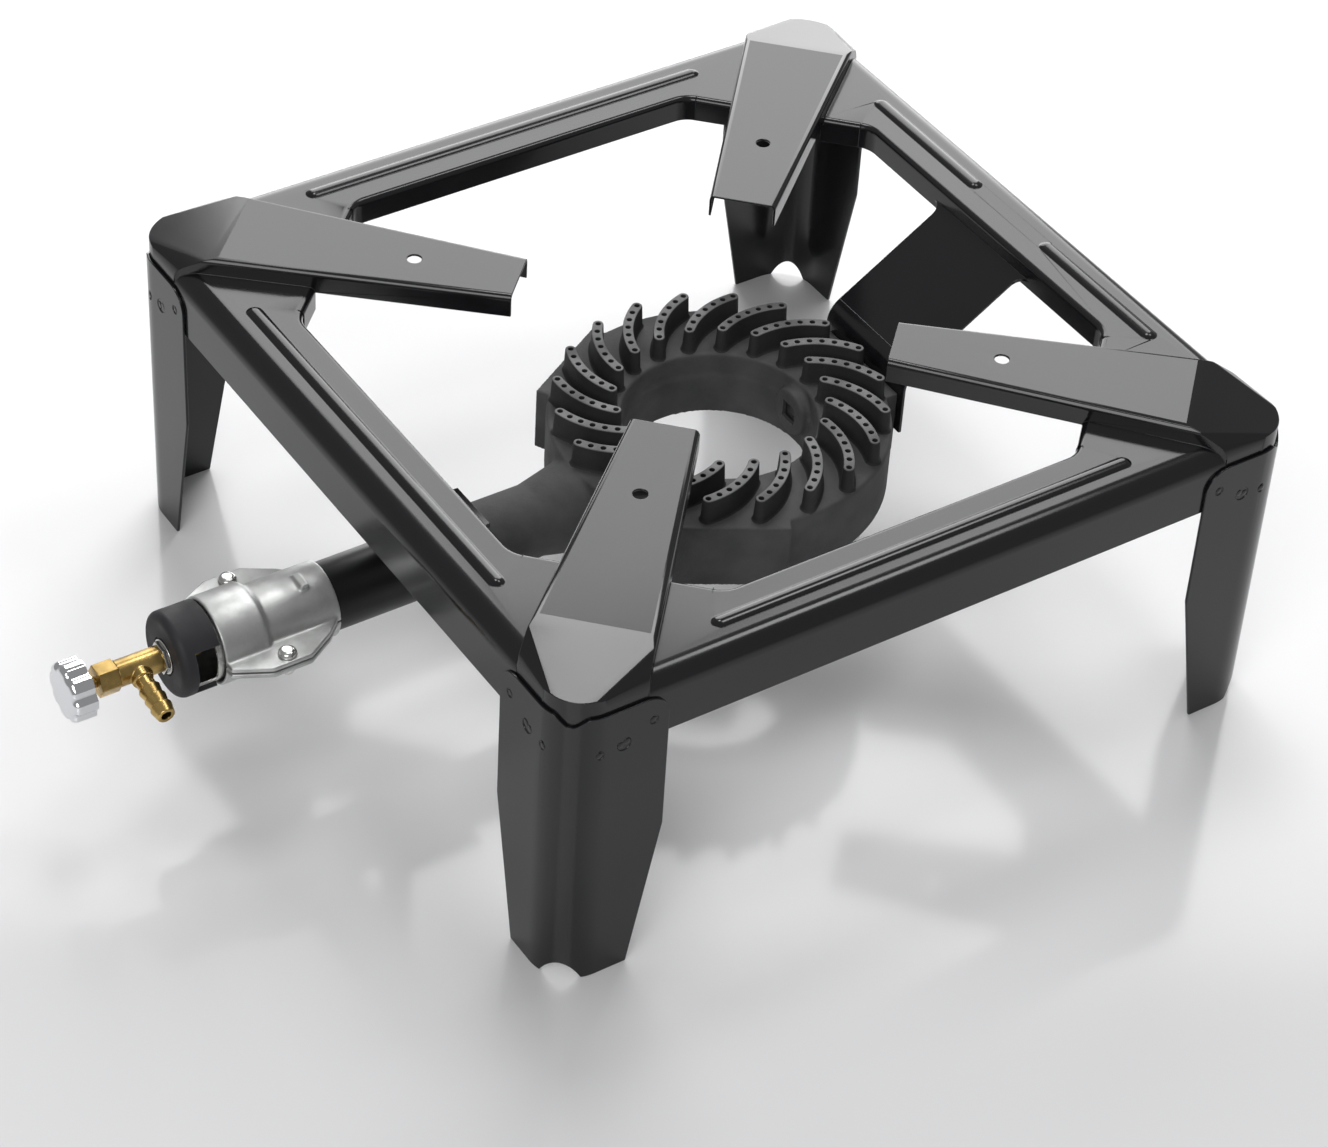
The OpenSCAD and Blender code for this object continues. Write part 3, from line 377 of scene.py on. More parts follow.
def band(form, here, there):
    """Faces between two closed rows of vertices."""
    for i in range(len(here)):
        j = (i + 1) % len(here)
        form.faces.new((here[i], there[i], there[j], here[j]))


def loft(form, loops):
    """Rows of vertices at closed loops of points, joined by faces, each row to the next."""
    rows = [[form.verts.new(point) for point in loop] for loop in loops]
    for here, there in zip(rows, rows[1:]):
        band(form, here, there)
    return rows


def lathe(form, profile, steps, place):
    """Turns a closed outline of (radius, height) points about Z."""
    turns = [2 * math.pi * k / steps for k in range(steps)]
    rings = loft(form, [[place @ Vector((r * math.cos(turn), r * math.sin(turn), z)) for r, z in profile]
                        for turn in turns])
    band(form, rings[-1], rings[0])


def box(form, low, high, place):
    """A closed box between two corners, in a place's own frame."""
    size = Vector(high) - Vector(low)
    middle = (Vector(high) + Vector(low)) / 2
    bmesh.ops.create_cube(form, size=1, matrix=place @ Matrix.Translation(middle)
                          @ Matrix.Diagonal((*size, 1)))


def rod(form, radius_0, radius_1, length, place, steps=48):
    """A closed rod or cone along the place's own Z."""
    bmesh.ops.create_cone(form, cap_ends=True, segments=steps, radius1=radius_0, radius2=radius_1,
                          depth=length, matrix=place @ Matrix.Translation((0, 0, length / 2)))


def along(axis, place):
    """A frame at a place whose Z runs along an axis."""
    return Matrix.Translation(place) @ Vector(axis).to_track_quat("Z", "Y").to_matrix().to_4x4()


# Shader groups and materials

def add_node(tree, kind, **settings):
    made = tree.nodes.new(kind)
    for key, value in settings.items():
        setattr(made, key, value)
    return made


def new_group(name, inputs, outputs):
    """An empty shader node group with named sockets, and its two end nodes."""
    group = bpy.data.node_groups.new(name, "ShaderNodeTree")
    for label, kind, default in inputs:
        socket = group.interface.new_socket(label, in_out="INPUT", socket_type=kind)
        if default is not None:
            socket.default_value = default
    for label, kind in outputs:
        group.interface.new_socket(label, in_out="OUTPUT", socket_type=kind)
    return group, add_node(group, "NodeGroupInput"), add_node(group, "NodeGroupOutput")


def grain_group():
    """Rough skin: a coarse and a fine noise added, for bumps, and a slow one for patches."""
    group, source, end = new_group("Rough skin", [
        ("Vector", "NodeSocketVector", None), ("Coarse", "NodeSocketFloat", 400.0),
        ("Fine", "NodeSocketFloat", 1800.0), ("Patches", "NodeSocketFloat", 30.0)],
        [("Height", "NodeSocketFloat"), ("Patch", "NodeSocketFloat")])
    made = {}
    for label, detail in (("Coarse", 3.0), ("Fine", 2.0), ("Patches", 4.0)):
        noise = add_node(group, "ShaderNodeTexNoise")
        noise.inputs["Detail"].default_value = detail
        group.links.new(source.outputs["Vector"], noise.inputs["Vector"])
        group.links.new(source.outputs[label], noise.inputs["Scale"])
        made[label] = noise.outputs["Fac"]
    add = add_node(group, "ShaderNodeMath", operation="MULTIPLY_ADD")
    add.inputs[1].default_value = 0.4
    group.links.new(made["Fine"], add.inputs[0])
    group.links.new(made["Coarse"], add.inputs[2])
    group.links.new(add.outputs[0], end.inputs["Height"])
    group.links.new(made["Patches"], end.inputs["Patch"])
    return group


def wear_group():
    """A mask of worn edges: where the rounded normal leaves the true one, broken up by noise."""
    group, source, end = new_group("Worn edges", [
        ("Vector", "NodeSocketVector", None), ("Breakup", "NodeSocketFloat", 250.0),
        ("Spread", "NodeSocketFloat", 0.5)], [("Mask", "NodeSocketFloat")])
    rounded = add_node(group, "ShaderNodeBevel", samples=4)
    rounded.inputs["Radius"].default_value = 0.7 * MM
    geometry = add_node(group, "ShaderNodeNewGeometry")
    dot = add_node(group, "ShaderNodeVectorMath", operation="DOT_PRODUCT")
    group.links.new(rounded.outputs["Normal"], dot.inputs[0])
    group.links.new(geometry.outputs["Normal"], dot.inputs[1])
    noise = add_node(group, "ShaderNodeTexNoise")
    noise.inputs["Detail"].default_value = 4.0
    group.links.new(source.outputs["Vector"], noise.inputs["Vector"])
    group.links.new(source.outputs["Breakup"], noise.inputs["Scale"])
    edge = add_node(group, "ShaderNodeMapRange")
    edge.inputs["From Min"].default_value = 0.995
    edge.inputs["From Max"].default_value = 0.88
    group.links.new(dot.outputs["Value"], edge.inputs["Value"])
    broken = add_node(group, "ShaderNodeMapRange")
    broken.inputs["From Min"].default_value = 0.35
    broken.inputs["From Max"].default_value = 0.65
    group.links.new(noise.outputs["Fac"], broken.inputs["Value"])
    both = add_node(group, "ShaderNodeMath", operation="MULTIPLY")
    group.links.new(edge.outputs["Result"], both.inputs[0])
    group.links.new(broken.outputs["Result"], both.inputs[1])
    spread = add_node(group, "ShaderNodeMath", operation="MULTIPLY", use_clamp=True)
    group.links.new(both.outputs[0], spread.inputs[0])
    group.links.new(source.outputs["Spread"], spread.inputs[1])
    group.links.new(spread.outputs[0], end.inputs["Mask"])
    return group


class Finish:
    """A material being built on one Principled shader, with Object coordinates at hand."""

    def __init__(self, name, metallic=0.0, **sockets):
        self.material = bpy.data.materials.new(name)
        self.material.use_nodes = True
        self.tree = self.material.node_tree
        self.shader = self.tree.nodes["Principled BSDF"]
        self.place = add_node(self.tree, "ShaderNodeTexCoord").outputs["Object"]
        self.shader.inputs["Metallic"].default_value = metallic
        for label, value in sockets.items():
            self.shader.inputs[label.replace("_", " ")].default_value = value

    def group(self, tree, **values):
        """One of the shared groups, placed on the piece's own coordinates."""
        made = add_node(self.tree, "ShaderNodeGroup", node_tree=tree)
        self.tree.links.new(self.place, made.inputs["Vector"])
        for label, value in values.items():
            made.inputs[label].default_value = value
        return made

    def ramp(self, source, low, high, from_low=0.3, from_high=0.7):
        """A number that follows a source between two values."""
        made = add_node(self.tree, "ShaderNodeMapRange")
        for label, value in (("From Min", from_low), ("From Max", from_high),
                             ("To Min", low), ("To Max", high)):
            made.inputs[label].default_value = value
        self.tree.links.new(source, made.inputs["Value"])
        return made.outputs["Result"]

    def blend(self, mask, first, second):
        """A colour between two, by a mask. Each is a colour or a socket."""
        made = add_node(self.tree, "ShaderNodeMix", data_type="RGBA")
        for socket, value in ((made.inputs[6], first), (made.inputs[7], second)):
            if isinstance(value, bpy.types.NodeSocket):
                self.tree.links.new(value, socket)
            else:
                socket.default_value = (*value[:3], 1)
        self.tree.links.new(mask, made.inputs[0])
        return made.outputs[2]

    def combined(self, operation, first, second):
        """Two numbers put together by a Math node."""
        made = add_node(self.tree, "ShaderNodeMath", operation=operation)
        self.tree.links.new(first, made.inputs[0])
        self.tree.links.new(second, made.inputs[1])
        return made.outputs[0]

    def bump(self, height, distance):
        """Bumps of a depth in metres, by a height between 0 and about 1."""
        made = add_node(self.tree, "ShaderNodeBump")
        made.inputs["Distance"].default_value = distance
        self.tree.links.new(height, made.inputs["Height"])
        self.tree.links.new(made.outputs["Normal"], self.shader.inputs["Normal"])

    def feed(self, label, source):
        self.tree.links.new(source, self.shader.inputs[label])


def scaled(color, factor):
    return tuple(min(part * factor, 1.0) for part in color)


def coated_finish(name, skin, scales, colors, roughness, depth=0.0, worn=None, specular=0.5, metallic=0.0):
    """A paint, enamel or plating in two shades by patches.

    Scales are the skin's coarse, fine and patch scales. Where worn is given, it is the wear group, its
    breakup and spread, and the colour of the worn edges.
    """
    finish = Finish(name, metallic=metallic, Specular_IOR_Level=specular)
    rough = finish.group(skin, **dict(zip(("Coarse", "Fine", "Patches"), scales)))
    color = finish.blend(rough.outputs["Patch"], *colors)
    if worn is not None:
        wear, breakup, spread, bare = worn
        mask = finish.group(wear, Breakup=breakup, Spread=spread).outputs["Mask"]
        color = finish.blend(mask, color, bare)
    finish.feed("Base Color", color)
    finish.feed("Roughness", finish.ramp(rough.outputs["Patch"], *roughness))
    if depth > 0:
        finish.bump(rough.outputs["Height"], depth)
    return finish.material


def iron_finish(name, skin, wear, color, tops=None):
    """Painted sand casting: pitted skin, rubbed edges and, where given, ground tops above a height."""
    finish = Finish(name, Specular_IOR_Level=0.4)
    rough = finish.group(skin, Coarse=520.0, Fine=1900.0, Patches=42.0)
    worn = finish.group(wear, Breakup=420.0, Spread=0.6)
    patch = finish.ramp(rough.outputs["Patch"], 0.0, 1.0)
    body = finish.blend(patch, scaled(color, 0.75), scaled(color, 1.35))
    mask = worn.outputs["Mask"]
    if tops is not None:
        apart = add_node(finish.tree, "ShaderNodeSeparateXYZ")
        finish.tree.links.new(finish.place, apart.inputs["Vector"])
        high = finish.ramp(apart.outputs["Z"], 0.0, 1.0, tops - 0.5 * MM, tops - 0.1 * MM)
        rubbed = finish.ramp(rough.outputs["Patch"], 0.35, 0.95)
        mask = finish.combined("MAXIMUM", mask, finish.combined("MULTIPLY", high, rubbed))
    finish.feed("Base Color", finish.blend(mask, body, RUBBED_IRON))
    finish.feed("Roughness", finish.ramp(mask, 0.72, 0.5, 0.0, 1.0))
    finish.bump(rough.outputs["Height"], 0.16 * MM)
    return finish.material


def cast_metal_finish(name, skin, wear, color, roughness, depth, shade):
    """Bare cast or plated metal: bright, finely grained, darker by a share in patches."""
    finish = Finish(name, metallic=1.0)
    rough = finish.group(skin, Coarse=600.0, Fine=2400.0, Patches=60.0)
    worn = finish.group(wear, Breakup=300.0, Spread=0.5)
    patch = finish.ramp(rough.outputs["Patch"], 0.0, 1.0, 0.35, 0.6)
    body = finish.blend(patch, scaled(color, shade), color)
    finish.feed("Base Color", finish.blend(worn.outputs["Mask"], body, scaled(color, 1.3)))
    finish.feed("Roughness", finish.ramp(rough.outputs["Patch"], roughness * 1.25, roughness * 0.8))
    finish.bump(rough.outputs["Height"], depth)
    return finish.material


def make_finishes(settings):
    """Every material of the stove by the record's slot, with two more that are darker as painted shade: the
    vanes' and the hidden bolt's.
    """
    skin, wear = grain_group(), wear_group()
    enamel, cap, chrome = settings.enamel, settings.cap, settings.chrome
    tube = scaled(enamel, 0.9)
    return {
        "black_enamel": coated_finish("Black enamel", skin, (160.0, 900.0, 9.0),
                                      (enamel, scaled(enamel, 1.5)), (0.13, 0.20), 0.008 * MM,
                                      (wear, 120.0, 0.35, RUBBED_ENAMEL)),
        "cast_iron": iron_finish("Cast iron", skin, wear, settings.iron),
        # Painted shade: the vanes' iron is the casting's own iron at about a third of its brightness, for
        # their shaded sides; their rubbed tops stay light
        "shaded_vane_iron": iron_finish("Vane iron in painted shade", skin, wear, scaled(settings.iron, 0.35), tops=burner_high.z),
        "tube_paint": coated_finish("Tube paint", skin, (300.0, 1500.0, 25.0), (tube, tube), (0.3, 0.48),
                                    0.04 * MM, (wear, 200.0, 0.5, RUBBED_PAINT), specular=0.45),
        "zinc_casting": cast_metal_finish("Zinc casting", skin, wear, settings.zinc, 0.46, 0.05 * MM, 0.78),
        "zinc_plate": cast_metal_finish("Zinc plate", skin, wear, settings.plate, 0.24, 0.015 * MM, 0.8),
        # Plated steel darkened as painted shade, for the hidden rear bolt and its nut
        "pocket_shade_steel": cast_metal_finish("Steel in painted shade", skin, wear, settings.steel, 0.5, 0.02 * MM, 0.55),
        "brass": cast_metal_finish("Brass", skin, wear, settings.brass, 0.26, 0.03 * MM, 0.45),
        "chrome": coated_finish("Chrome", skin, (90.0, 1500.0, 120.0), (scaled(chrome, 0.92), chrome),
                                (0.04, 0.10), 0.01 * MM, metallic=1.0),
        "dark_cap": coated_finish("Dark cap", skin, (700.0, 2600.0, 90.0),
                                  (scaled(cap, 0.8), scaled(cap, 1.3)), (0.5, 0.68), 0.06 * MM,
                                  (wear, 350.0, 0.7, RUBBED_IRON), specular=0.4),
        "packing": coated_finish("Packing", skin, (900.0, 3000.0, 80.0),
                                 (settings.packing_shade, settings.packing), (0.45, 0.6), specular=0.4),
    }


# Filled by the first operator, for the others
FINISH = {}


# Geometry Nodes trees

def geometry_tree(name, inputs):
    """A Geometry Nodes tree with one geometry through it and named inputs."""
    tree = bpy.data.node_groups.new(name, "GeometryNodeTree")
    tree.interface.new_socket("Geometry", in_out="INPUT", socket_type="NodeSocketGeometry")
    for label, kind in inputs:
        tree.interface.new_socket(label, in_out="INPUT", socket_type=kind)
    tree.interface.new_socket("Geometry", in_out="OUTPUT", socket_type="NodeSocketGeometry")
    return tree, add_node(tree, "NodeGroupInput"), add_node(tree, "NodeGroupOutput")


def end_tree(tree, source, end, geometry):
    """The last two nodes: the instances made real, and their material."""
    real = add_node(tree, "GeometryNodeRealizeInstances")
    paint = add_node(tree, "GeometryNodeSetMaterial")
    tree.links.new(geometry, real.inputs["Geometry"])
    tree.links.new(real.outputs["Geometry"], paint.inputs["Geometry"])
    tree.links.new(source.outputs["Material"], paint.inputs["Material"])
    tree.links.new(paint.outputs["Geometry"], end.inputs["Geometry"])


def grown(mesh, tree, values):
    """The plain mesh that a tree makes of a mesh, with its inputs set by their identifiers."""
    maker = bpy.data.objects.new("maker", mesh)
    bpy.context.scene.collection.objects.link(maker)
    modifier = maker.modifiers.new("tree", "NODES")
    modifier.node_group = tree
    for item in tree.interface.items_tree:
        if item.in_out == "INPUT" and item.name in values:
            modifier[item.identifier] = values[item.name]
    depsgraph = bpy.context.evaluated_depsgraph_get()
    result = bpy.data.meshes.new_from_object(maker.evaluated_get(depsgraph), depsgraph=depsgraph)
    maker.modifiers.remove(modifier)
    bpy.data.objects.remove(maker)
    return result


def ring_tree():
    """Repeats a shape about the Z axis of a centre."""
    tree, source, end = geometry_tree("Ring of vanes", [
        ("Count", "NodeSocketInt"), ("Phase", "NodeSocketFloat"), ("Centre", "NodeSocketVector"),
        ("Material", "NodeSocketMaterial")])
    points = add_node(tree, "GeometryNodePoints")
    index = add_node(tree, "GeometryNodeInputIndex")
    part = add_node(tree, "ShaderNodeMath", operation="DIVIDE")
    turn = add_node(tree, "ShaderNodeMath", operation="MULTIPLY_ADD")
    turn.inputs[1].default_value = 2 * math.pi
    angles = add_node(tree, "ShaderNodeCombineXYZ")
    rotation = add_node(tree, "FunctionNodeEulerToRotation")
    spread = add_node(tree, "GeometryNodeInstanceOnPoints")
    tree.links.new(source.outputs["Count"], points.inputs["Count"])
    tree.links.new(source.outputs["Centre"], points.inputs["Position"])
    tree.links.new(index.outputs[0], part.inputs[0])
    tree.links.new(source.outputs["Count"], part.inputs[1])
    tree.links.new(part.outputs[0], turn.inputs[0])
    tree.links.new(source.outputs["Phase"], turn.inputs[2])
    tree.links.new(turn.outputs[0], angles.inputs["Z"])
    tree.links.new(angles.outputs[0], rotation.inputs[0])
    tree.links.new(points.outputs[0], spread.inputs["Points"])
    tree.links.new(source.outputs["Geometry"], spread.inputs["Instance"])
    tree.links.new(rotation.outputs[0], spread.inputs["Rotation"])
    end_tree(tree, source, end, spread.outputs["Instances"])
    return tree


def thread_tree():
    """A helical ridge on each point of a mesh, along the points' normals."""
    tree, source, end = geometry_tree("Screw thread", [
        ("Radius", "NodeSocketFloat"), ("Pitch", "NodeSocketFloat"), ("Turns", "NodeSocketFloat"),
        ("Axis", "NodeSocketVector"), ("Material", "NodeSocketMaterial")])
    length = add_node(tree, "ShaderNodeMath", operation="MULTIPLY")
    coil = add_node(tree, "GeometryNodeCurveSpiral")
    coil.inputs["Resolution"].default_value = 24
    ridge = add_node(tree, "GeometryNodeCurvePrimitiveCircle")
    ridge.inputs["Resolution"].default_value = 4
    thick = add_node(tree, "ShaderNodeMath", operation="MULTIPLY")
    thick.inputs[1].default_value = 0.46
    sweep = add_node(tree, "GeometryNodeCurveToMesh")
    sweep.inputs["Fill Caps"].default_value = True
    aim = add_node(tree, "FunctionNodeAlignRotationToVector", axis="Z")
    spread = add_node(tree, "GeometryNodeInstanceOnPoints")
    tree.links.new(source.outputs["Pitch"], length.inputs[0])
    tree.links.new(source.outputs["Turns"], length.inputs[1])
    tree.links.new(source.outputs["Turns"], coil.inputs["Rotations"])
    tree.links.new(source.outputs["Radius"], coil.inputs["Start Radius"])
    tree.links.new(source.outputs["Radius"], coil.inputs["End Radius"])
    tree.links.new(length.outputs[0], coil.inputs["Height"])
    tree.links.new(source.outputs["Pitch"], thick.inputs[0])
    tree.links.new(thick.outputs[0], ridge.inputs["Radius"])
    tree.links.new(coil.outputs[0], sweep.inputs["Curve"])
    tree.links.new(ridge.outputs["Curve"], sweep.inputs["Profile Curve"])
    tree.links.new(source.outputs["Axis"], aim.inputs["Vector"])
    tree.links.new(source.outputs["Geometry"], spread.inputs["Points"])
    tree.links.new(sweep.outputs[0], spread.inputs["Instance"])
    tree.links.new(aim.outputs[0], spread.inputs["Rotation"])
    end_tree(tree, source, end, spread.outputs["Instances"])
    return tree


def bump_tree():
    """A flattened dome on each point of a mesh, facing along the points' normals."""
    tree, source, end = geometry_tree("Press marks", [
        ("Height", "NodeSocketFloat"), ("Material", "NodeSocketMaterial")])
    dome = add_node(tree, "GeometryNodeMeshUVSphere")
    dome.inputs["Segments"].default_value = 16
    dome.inputs["Rings"].default_value = 8
    dome.inputs["Radius"].default_value = 1.0
    size = add_node(tree, "GeometryNodeInputNamedAttribute", data_type="FLOAT")
    size.inputs["Name"].default_value = "size"
    scale = add_node(tree, "ShaderNodeCombineXYZ")
    facing = add_node(tree, "GeometryNodeInputNamedAttribute", data_type="FLOAT_VECTOR")
    facing.inputs["Name"].default_value = "facing"
    aim = add_node(tree, "FunctionNodeAlignRotationToVector", axis="Z")
    spread = add_node(tree, "GeometryNodeInstanceOnPoints")
    tree.links.new(size.outputs["Attribute"], scale.inputs["X"])
    tree.links.new(size.outputs["Attribute"], scale.inputs["Y"])
    tree.links.new(source.outputs["Height"], scale.inputs["Z"])
    tree.links.new(facing.outputs["Attribute"], aim.inputs["Vector"])
    tree.links.new(source.outputs["Geometry"], spread.inputs["Points"])
    tree.links.new(dome.outputs["Mesh"], spread.inputs["Instance"])
    tree.links.new(aim.outputs[0], spread.inputs["Rotation"])
    tree.links.new(scale.outputs[0], spread.inputs["Scale"])
    end_tree(tree, source, end, spread.outputs["Instances"])
    return tree


# Operators, one for each piece or group of like pieces

class STOVE_OT_finishes(bpy.types.Operator):
    """Builds the stove's materials"""
    bl_idname = "stove.finishes"
    bl_label = "Finishes"

    def execute(self, context):
        FINISH.update(make_finishes(context.scene.stove_finish))
        return {"FINISHED"}


class STOVE_OT_top(bpy.types.Operator):
    """Makes the pressed top with its creases eased"""
    bl_idname = "stove.top"
    bl_label = "Pressed top"

    def execute(self, context):
        s = context.scene.stove_sheet
        mesh = folded(merged_copy("top_frame"), s.fold, segments=6)
        mesh = kept_near(mesh, "top_frame", s.stray)
        mesh = kept_near(eased(mesh, s.edge, angle=40), "top_frame", s.stray)
        add_piece("pressed_top", mesh, STAND, FINISH["black_enamel"], ["top_frame"])
        return {"FINISHED"}


def leg_places():
    """For each leg its node, its outer corner on the floor, and the signs of its corner's x and y."""
    for name in ("leg_front_left", "leg_front_right", "leg_rear_left", "leg_rear_right"):
        low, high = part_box(name)
        side = -1 if name.endswith("left") else 1
        end = -1 if "front" in name else 1
        yield name, Vector((high.x if side > 0 else low.x, high.y if end > 0 else low.y, 0)), side, end


def plate_sides(side, end):
    """For both plates of a leg, the way out of it and the way along it from the corner."""
    return ((Vector((side, 0, 0)), Vector((0, -end, 0))),
            (Vector((0, end, 0)), Vector((-side, 0, 0))))


class STOVE_OT_legs(bpy.types.Operator):
    """Makes the four folded legs, each from one sheet that is bent, tapered and marked by its welds"""
    bl_idname = "stove.legs"
    bl_label = "Legs"

    def execute(self, context):
        s = context.scene.stove_leg
        marks = context.scene.stove_mark
        half_bend = s.bend * math.pi / 4
        # Where the sheet's columns stand: along a plate from the bend, and along half of the bend
        shoulder = [s.shoulder * math.sin(math.radians(turn)) for turn in (0, 15, 30, 45, 60, 74, 90)]
        plate = [s.bend + 2 * MM, 28 * MM, 33 * MM, s.foot]
        plate += [s.width - s.shoulder + past for past in shoulder]
        middle = [half_bend * share for share in (0.1, 0.2, 0.28, 0.36, 0.44, 0.5, 0.55, 0.58, 0.6,
                                                  0.68, 0.76, 0.88, 1)]

        def column(run, away):
            """Bottom and top of the sheet at a distance along the bend and from the corner."""
            low, high = 0.0, s.height
            if abs(run) < s.dip[0] / 2:
                high -= s.dip[1] * math.cos(math.pi * run / s.dip[0]) ** 2
            if abs(run) < s.arch[0] / 2:
                low = s.arch[1] * (1 - (2 * run / s.arch[0]) ** 2)
            if away > s.width - s.shoulder:
                past = away - s.width + s.shoulder
                high -= s.shoulder - math.sqrt(max(s.shoulder ** 2 - past ** 2, 0))
            if away > s.foot:
                low = s.taper * (away - s.foot) / (s.width - s.foot)
            return low, high

        def sheet(form, corner, side, end):
            """The folded sheet, from one plate's free edge round the bend to the other's."""
            stations = [(Vector((0, -away, 0)), Vector((1, 0, 0)), -half_bend, away)
                        for away in reversed(plate)]
            for run in [-share for share in reversed(middle)] + [0] + middle:
                turn = (run + half_bend) / s.bend
                out = Vector((math.cos(turn), math.sin(turn), 0))
                stations.append((Vector((-s.bend, -s.bend, 0)) + out * s.bend, out, run, s.bend))
            stations += [(Vector((-away, 0, 0)), Vector((0, 1, 0)), half_bend, away) for away in plate]
            loops = []
            for place, out, run, away in stations:
                low, high = column(run, away)
                inner = place - out * s.sheet
                loops.append([corner + Vector((side * point.x, end * point.y, z))
                              for point, z in ((place, low), (place, high), (inner, high), (inner, low))])
            rows = loft(form, loops)
            form.faces.new(rows[0])
            form.faces.new(rows[-1])

        def recesses(form, corner, side, end):
            """Shallow round recesses, in which the press marks stand."""
            for out, run in plate_sides(side, end):
                for mark, spare in ((marks.weld, 1.35), (marks.clinch, 1.9), (marks.inner, 1.35)):
                    away, up, radius = mark
                    place = corner + run * away + Vector((0, 0, marks.skirt + up)) - out * marks.depth
                    rod(form, radius * spare, radius * spare, 3 * MM, along(out, place), steps=24)

        for name, corner, side, end in leg_places():
            mesh = carved(mesh_from(lambda form: sheet(form, corner, side, end)),
                          lambda form: recesses(form, corner, side, end))
            mesh = eased(mesh, context.scene.stove_sheet.edge, angle=40)
            add_piece(name + "_sheet", mesh, STAND, FINISH["black_enamel"], [name])
        return {"FINISHED"}


class STOVE_OT_straps(bpy.types.Operator):
    """Makes the rear strap and the front bracket with eased sheet edges"""
    bl_idname = "stove.straps"
    bl_label = "Strap and bracket"

    def execute(self, context):
        for name in ("rear_strap", "front_bracket"):
            mesh = eased(merged_copy(name), context.scene.stove_sheet.strap_edge, angle=35)
            add_piece(name + "_sheet", mesh, STAND, FINISH["black_enamel"], [name])
        return {"FINISHED"}


class STOVE_OT_burner(bpy.types.Operator):
    """Makes the burner's ring, bosses, pad and neck as one casting"""
    bl_idname = "stove.burner"
    bl_label = "Burner casting"

    def execute(self, context):
        s = context.scene.stove_burner
        deck = s.ring_height
        base = burner_high.z - context.scene.stove_vane.height - deck
        centre = Vector((RING_X, burner_high.y - s.boss_reach, base))
        # The neck stands clear of the tube's end and starts just inside the ring's wall
        neck_end = tube_high.y + 2 * MM
        neck_start = centre.y - s.ring_radius + 1.6 * MM
        taper = s.neck_taper

        def ring(form):
            wide = s.bore_radius + s.ledge
            lathe(form, [(s.bore_radius, 0), (s.ring_radius - s.foot, 0), (s.ring_radius, s.foot),
                         (s.ring_radius, deck - s.edge), (s.ring_radius - s.edge, deck),
                         (wide + s.ledge / 2, deck), (wide, deck - s.ledge),
                         (wide, deck * 0.66), (s.bore_radius, deck * 0.62)], 160, Matrix.Translation(centre))

        def bosses(form):
            for k in range(3):
                turn = Matrix.Rotation(math.radians(90 + 120 * k), 4, "Z")
                box(form, (s.bore_radius + 4 * MM, -s.boss_width / 2, 0),
                    (s.boss_reach, s.boss_width / 2, deck), Matrix.Translation(centre) @ turn)

        def pad(form):
            rod(form, s.pad_radius, s.pad_radius + 1 * MM, s.pad_height + 4 * MM,
                along((0, 1, 0), centre + Vector((0, s.bore_radius - s.pad_height, s.bolt_height))))

        def neck(form):
            rod(form, s.neck_root_radius, s.neck_radius, taper,
                along((0, -1, 0), (centre.x, neck_start, LINE_Z)))
            rod(form, s.neck_radius, s.neck_radius, neck_start - taper - neck_end,
                along((0, -1, 0), (centre.x, neck_start - taper, LINE_Z)))
            rod(form, s.neck_radius, s.neck_radius, 5 * MM,
                along((0, -1, 0), (centre.x, neck_start + 5 * MM, LINE_Z)))

        def pocket(form):
            middle = Vector((0, s.bore_radius - s.pad_height, s.bolt_height))
            half = s.pocket / 2
            box(form, (-half, -2 * MM, -half), (half, 6 * MM, half), Matrix.Translation(centre + middle))

        def whole(form):
            for part in (ring, bosses, pad, neck):
                part(form)

        mesh = carved(cast(mesh_from(whole), s.voxel, rounds=3), pocket)
        mesh.shade_smooth()
        mesh.set_sharp_from_angle(angle=math.radians(50))
        add_piece("burner_casting", mesh, STAND, FINISH["cast_iron"], ["burner"])
        return {"FINISHED"}


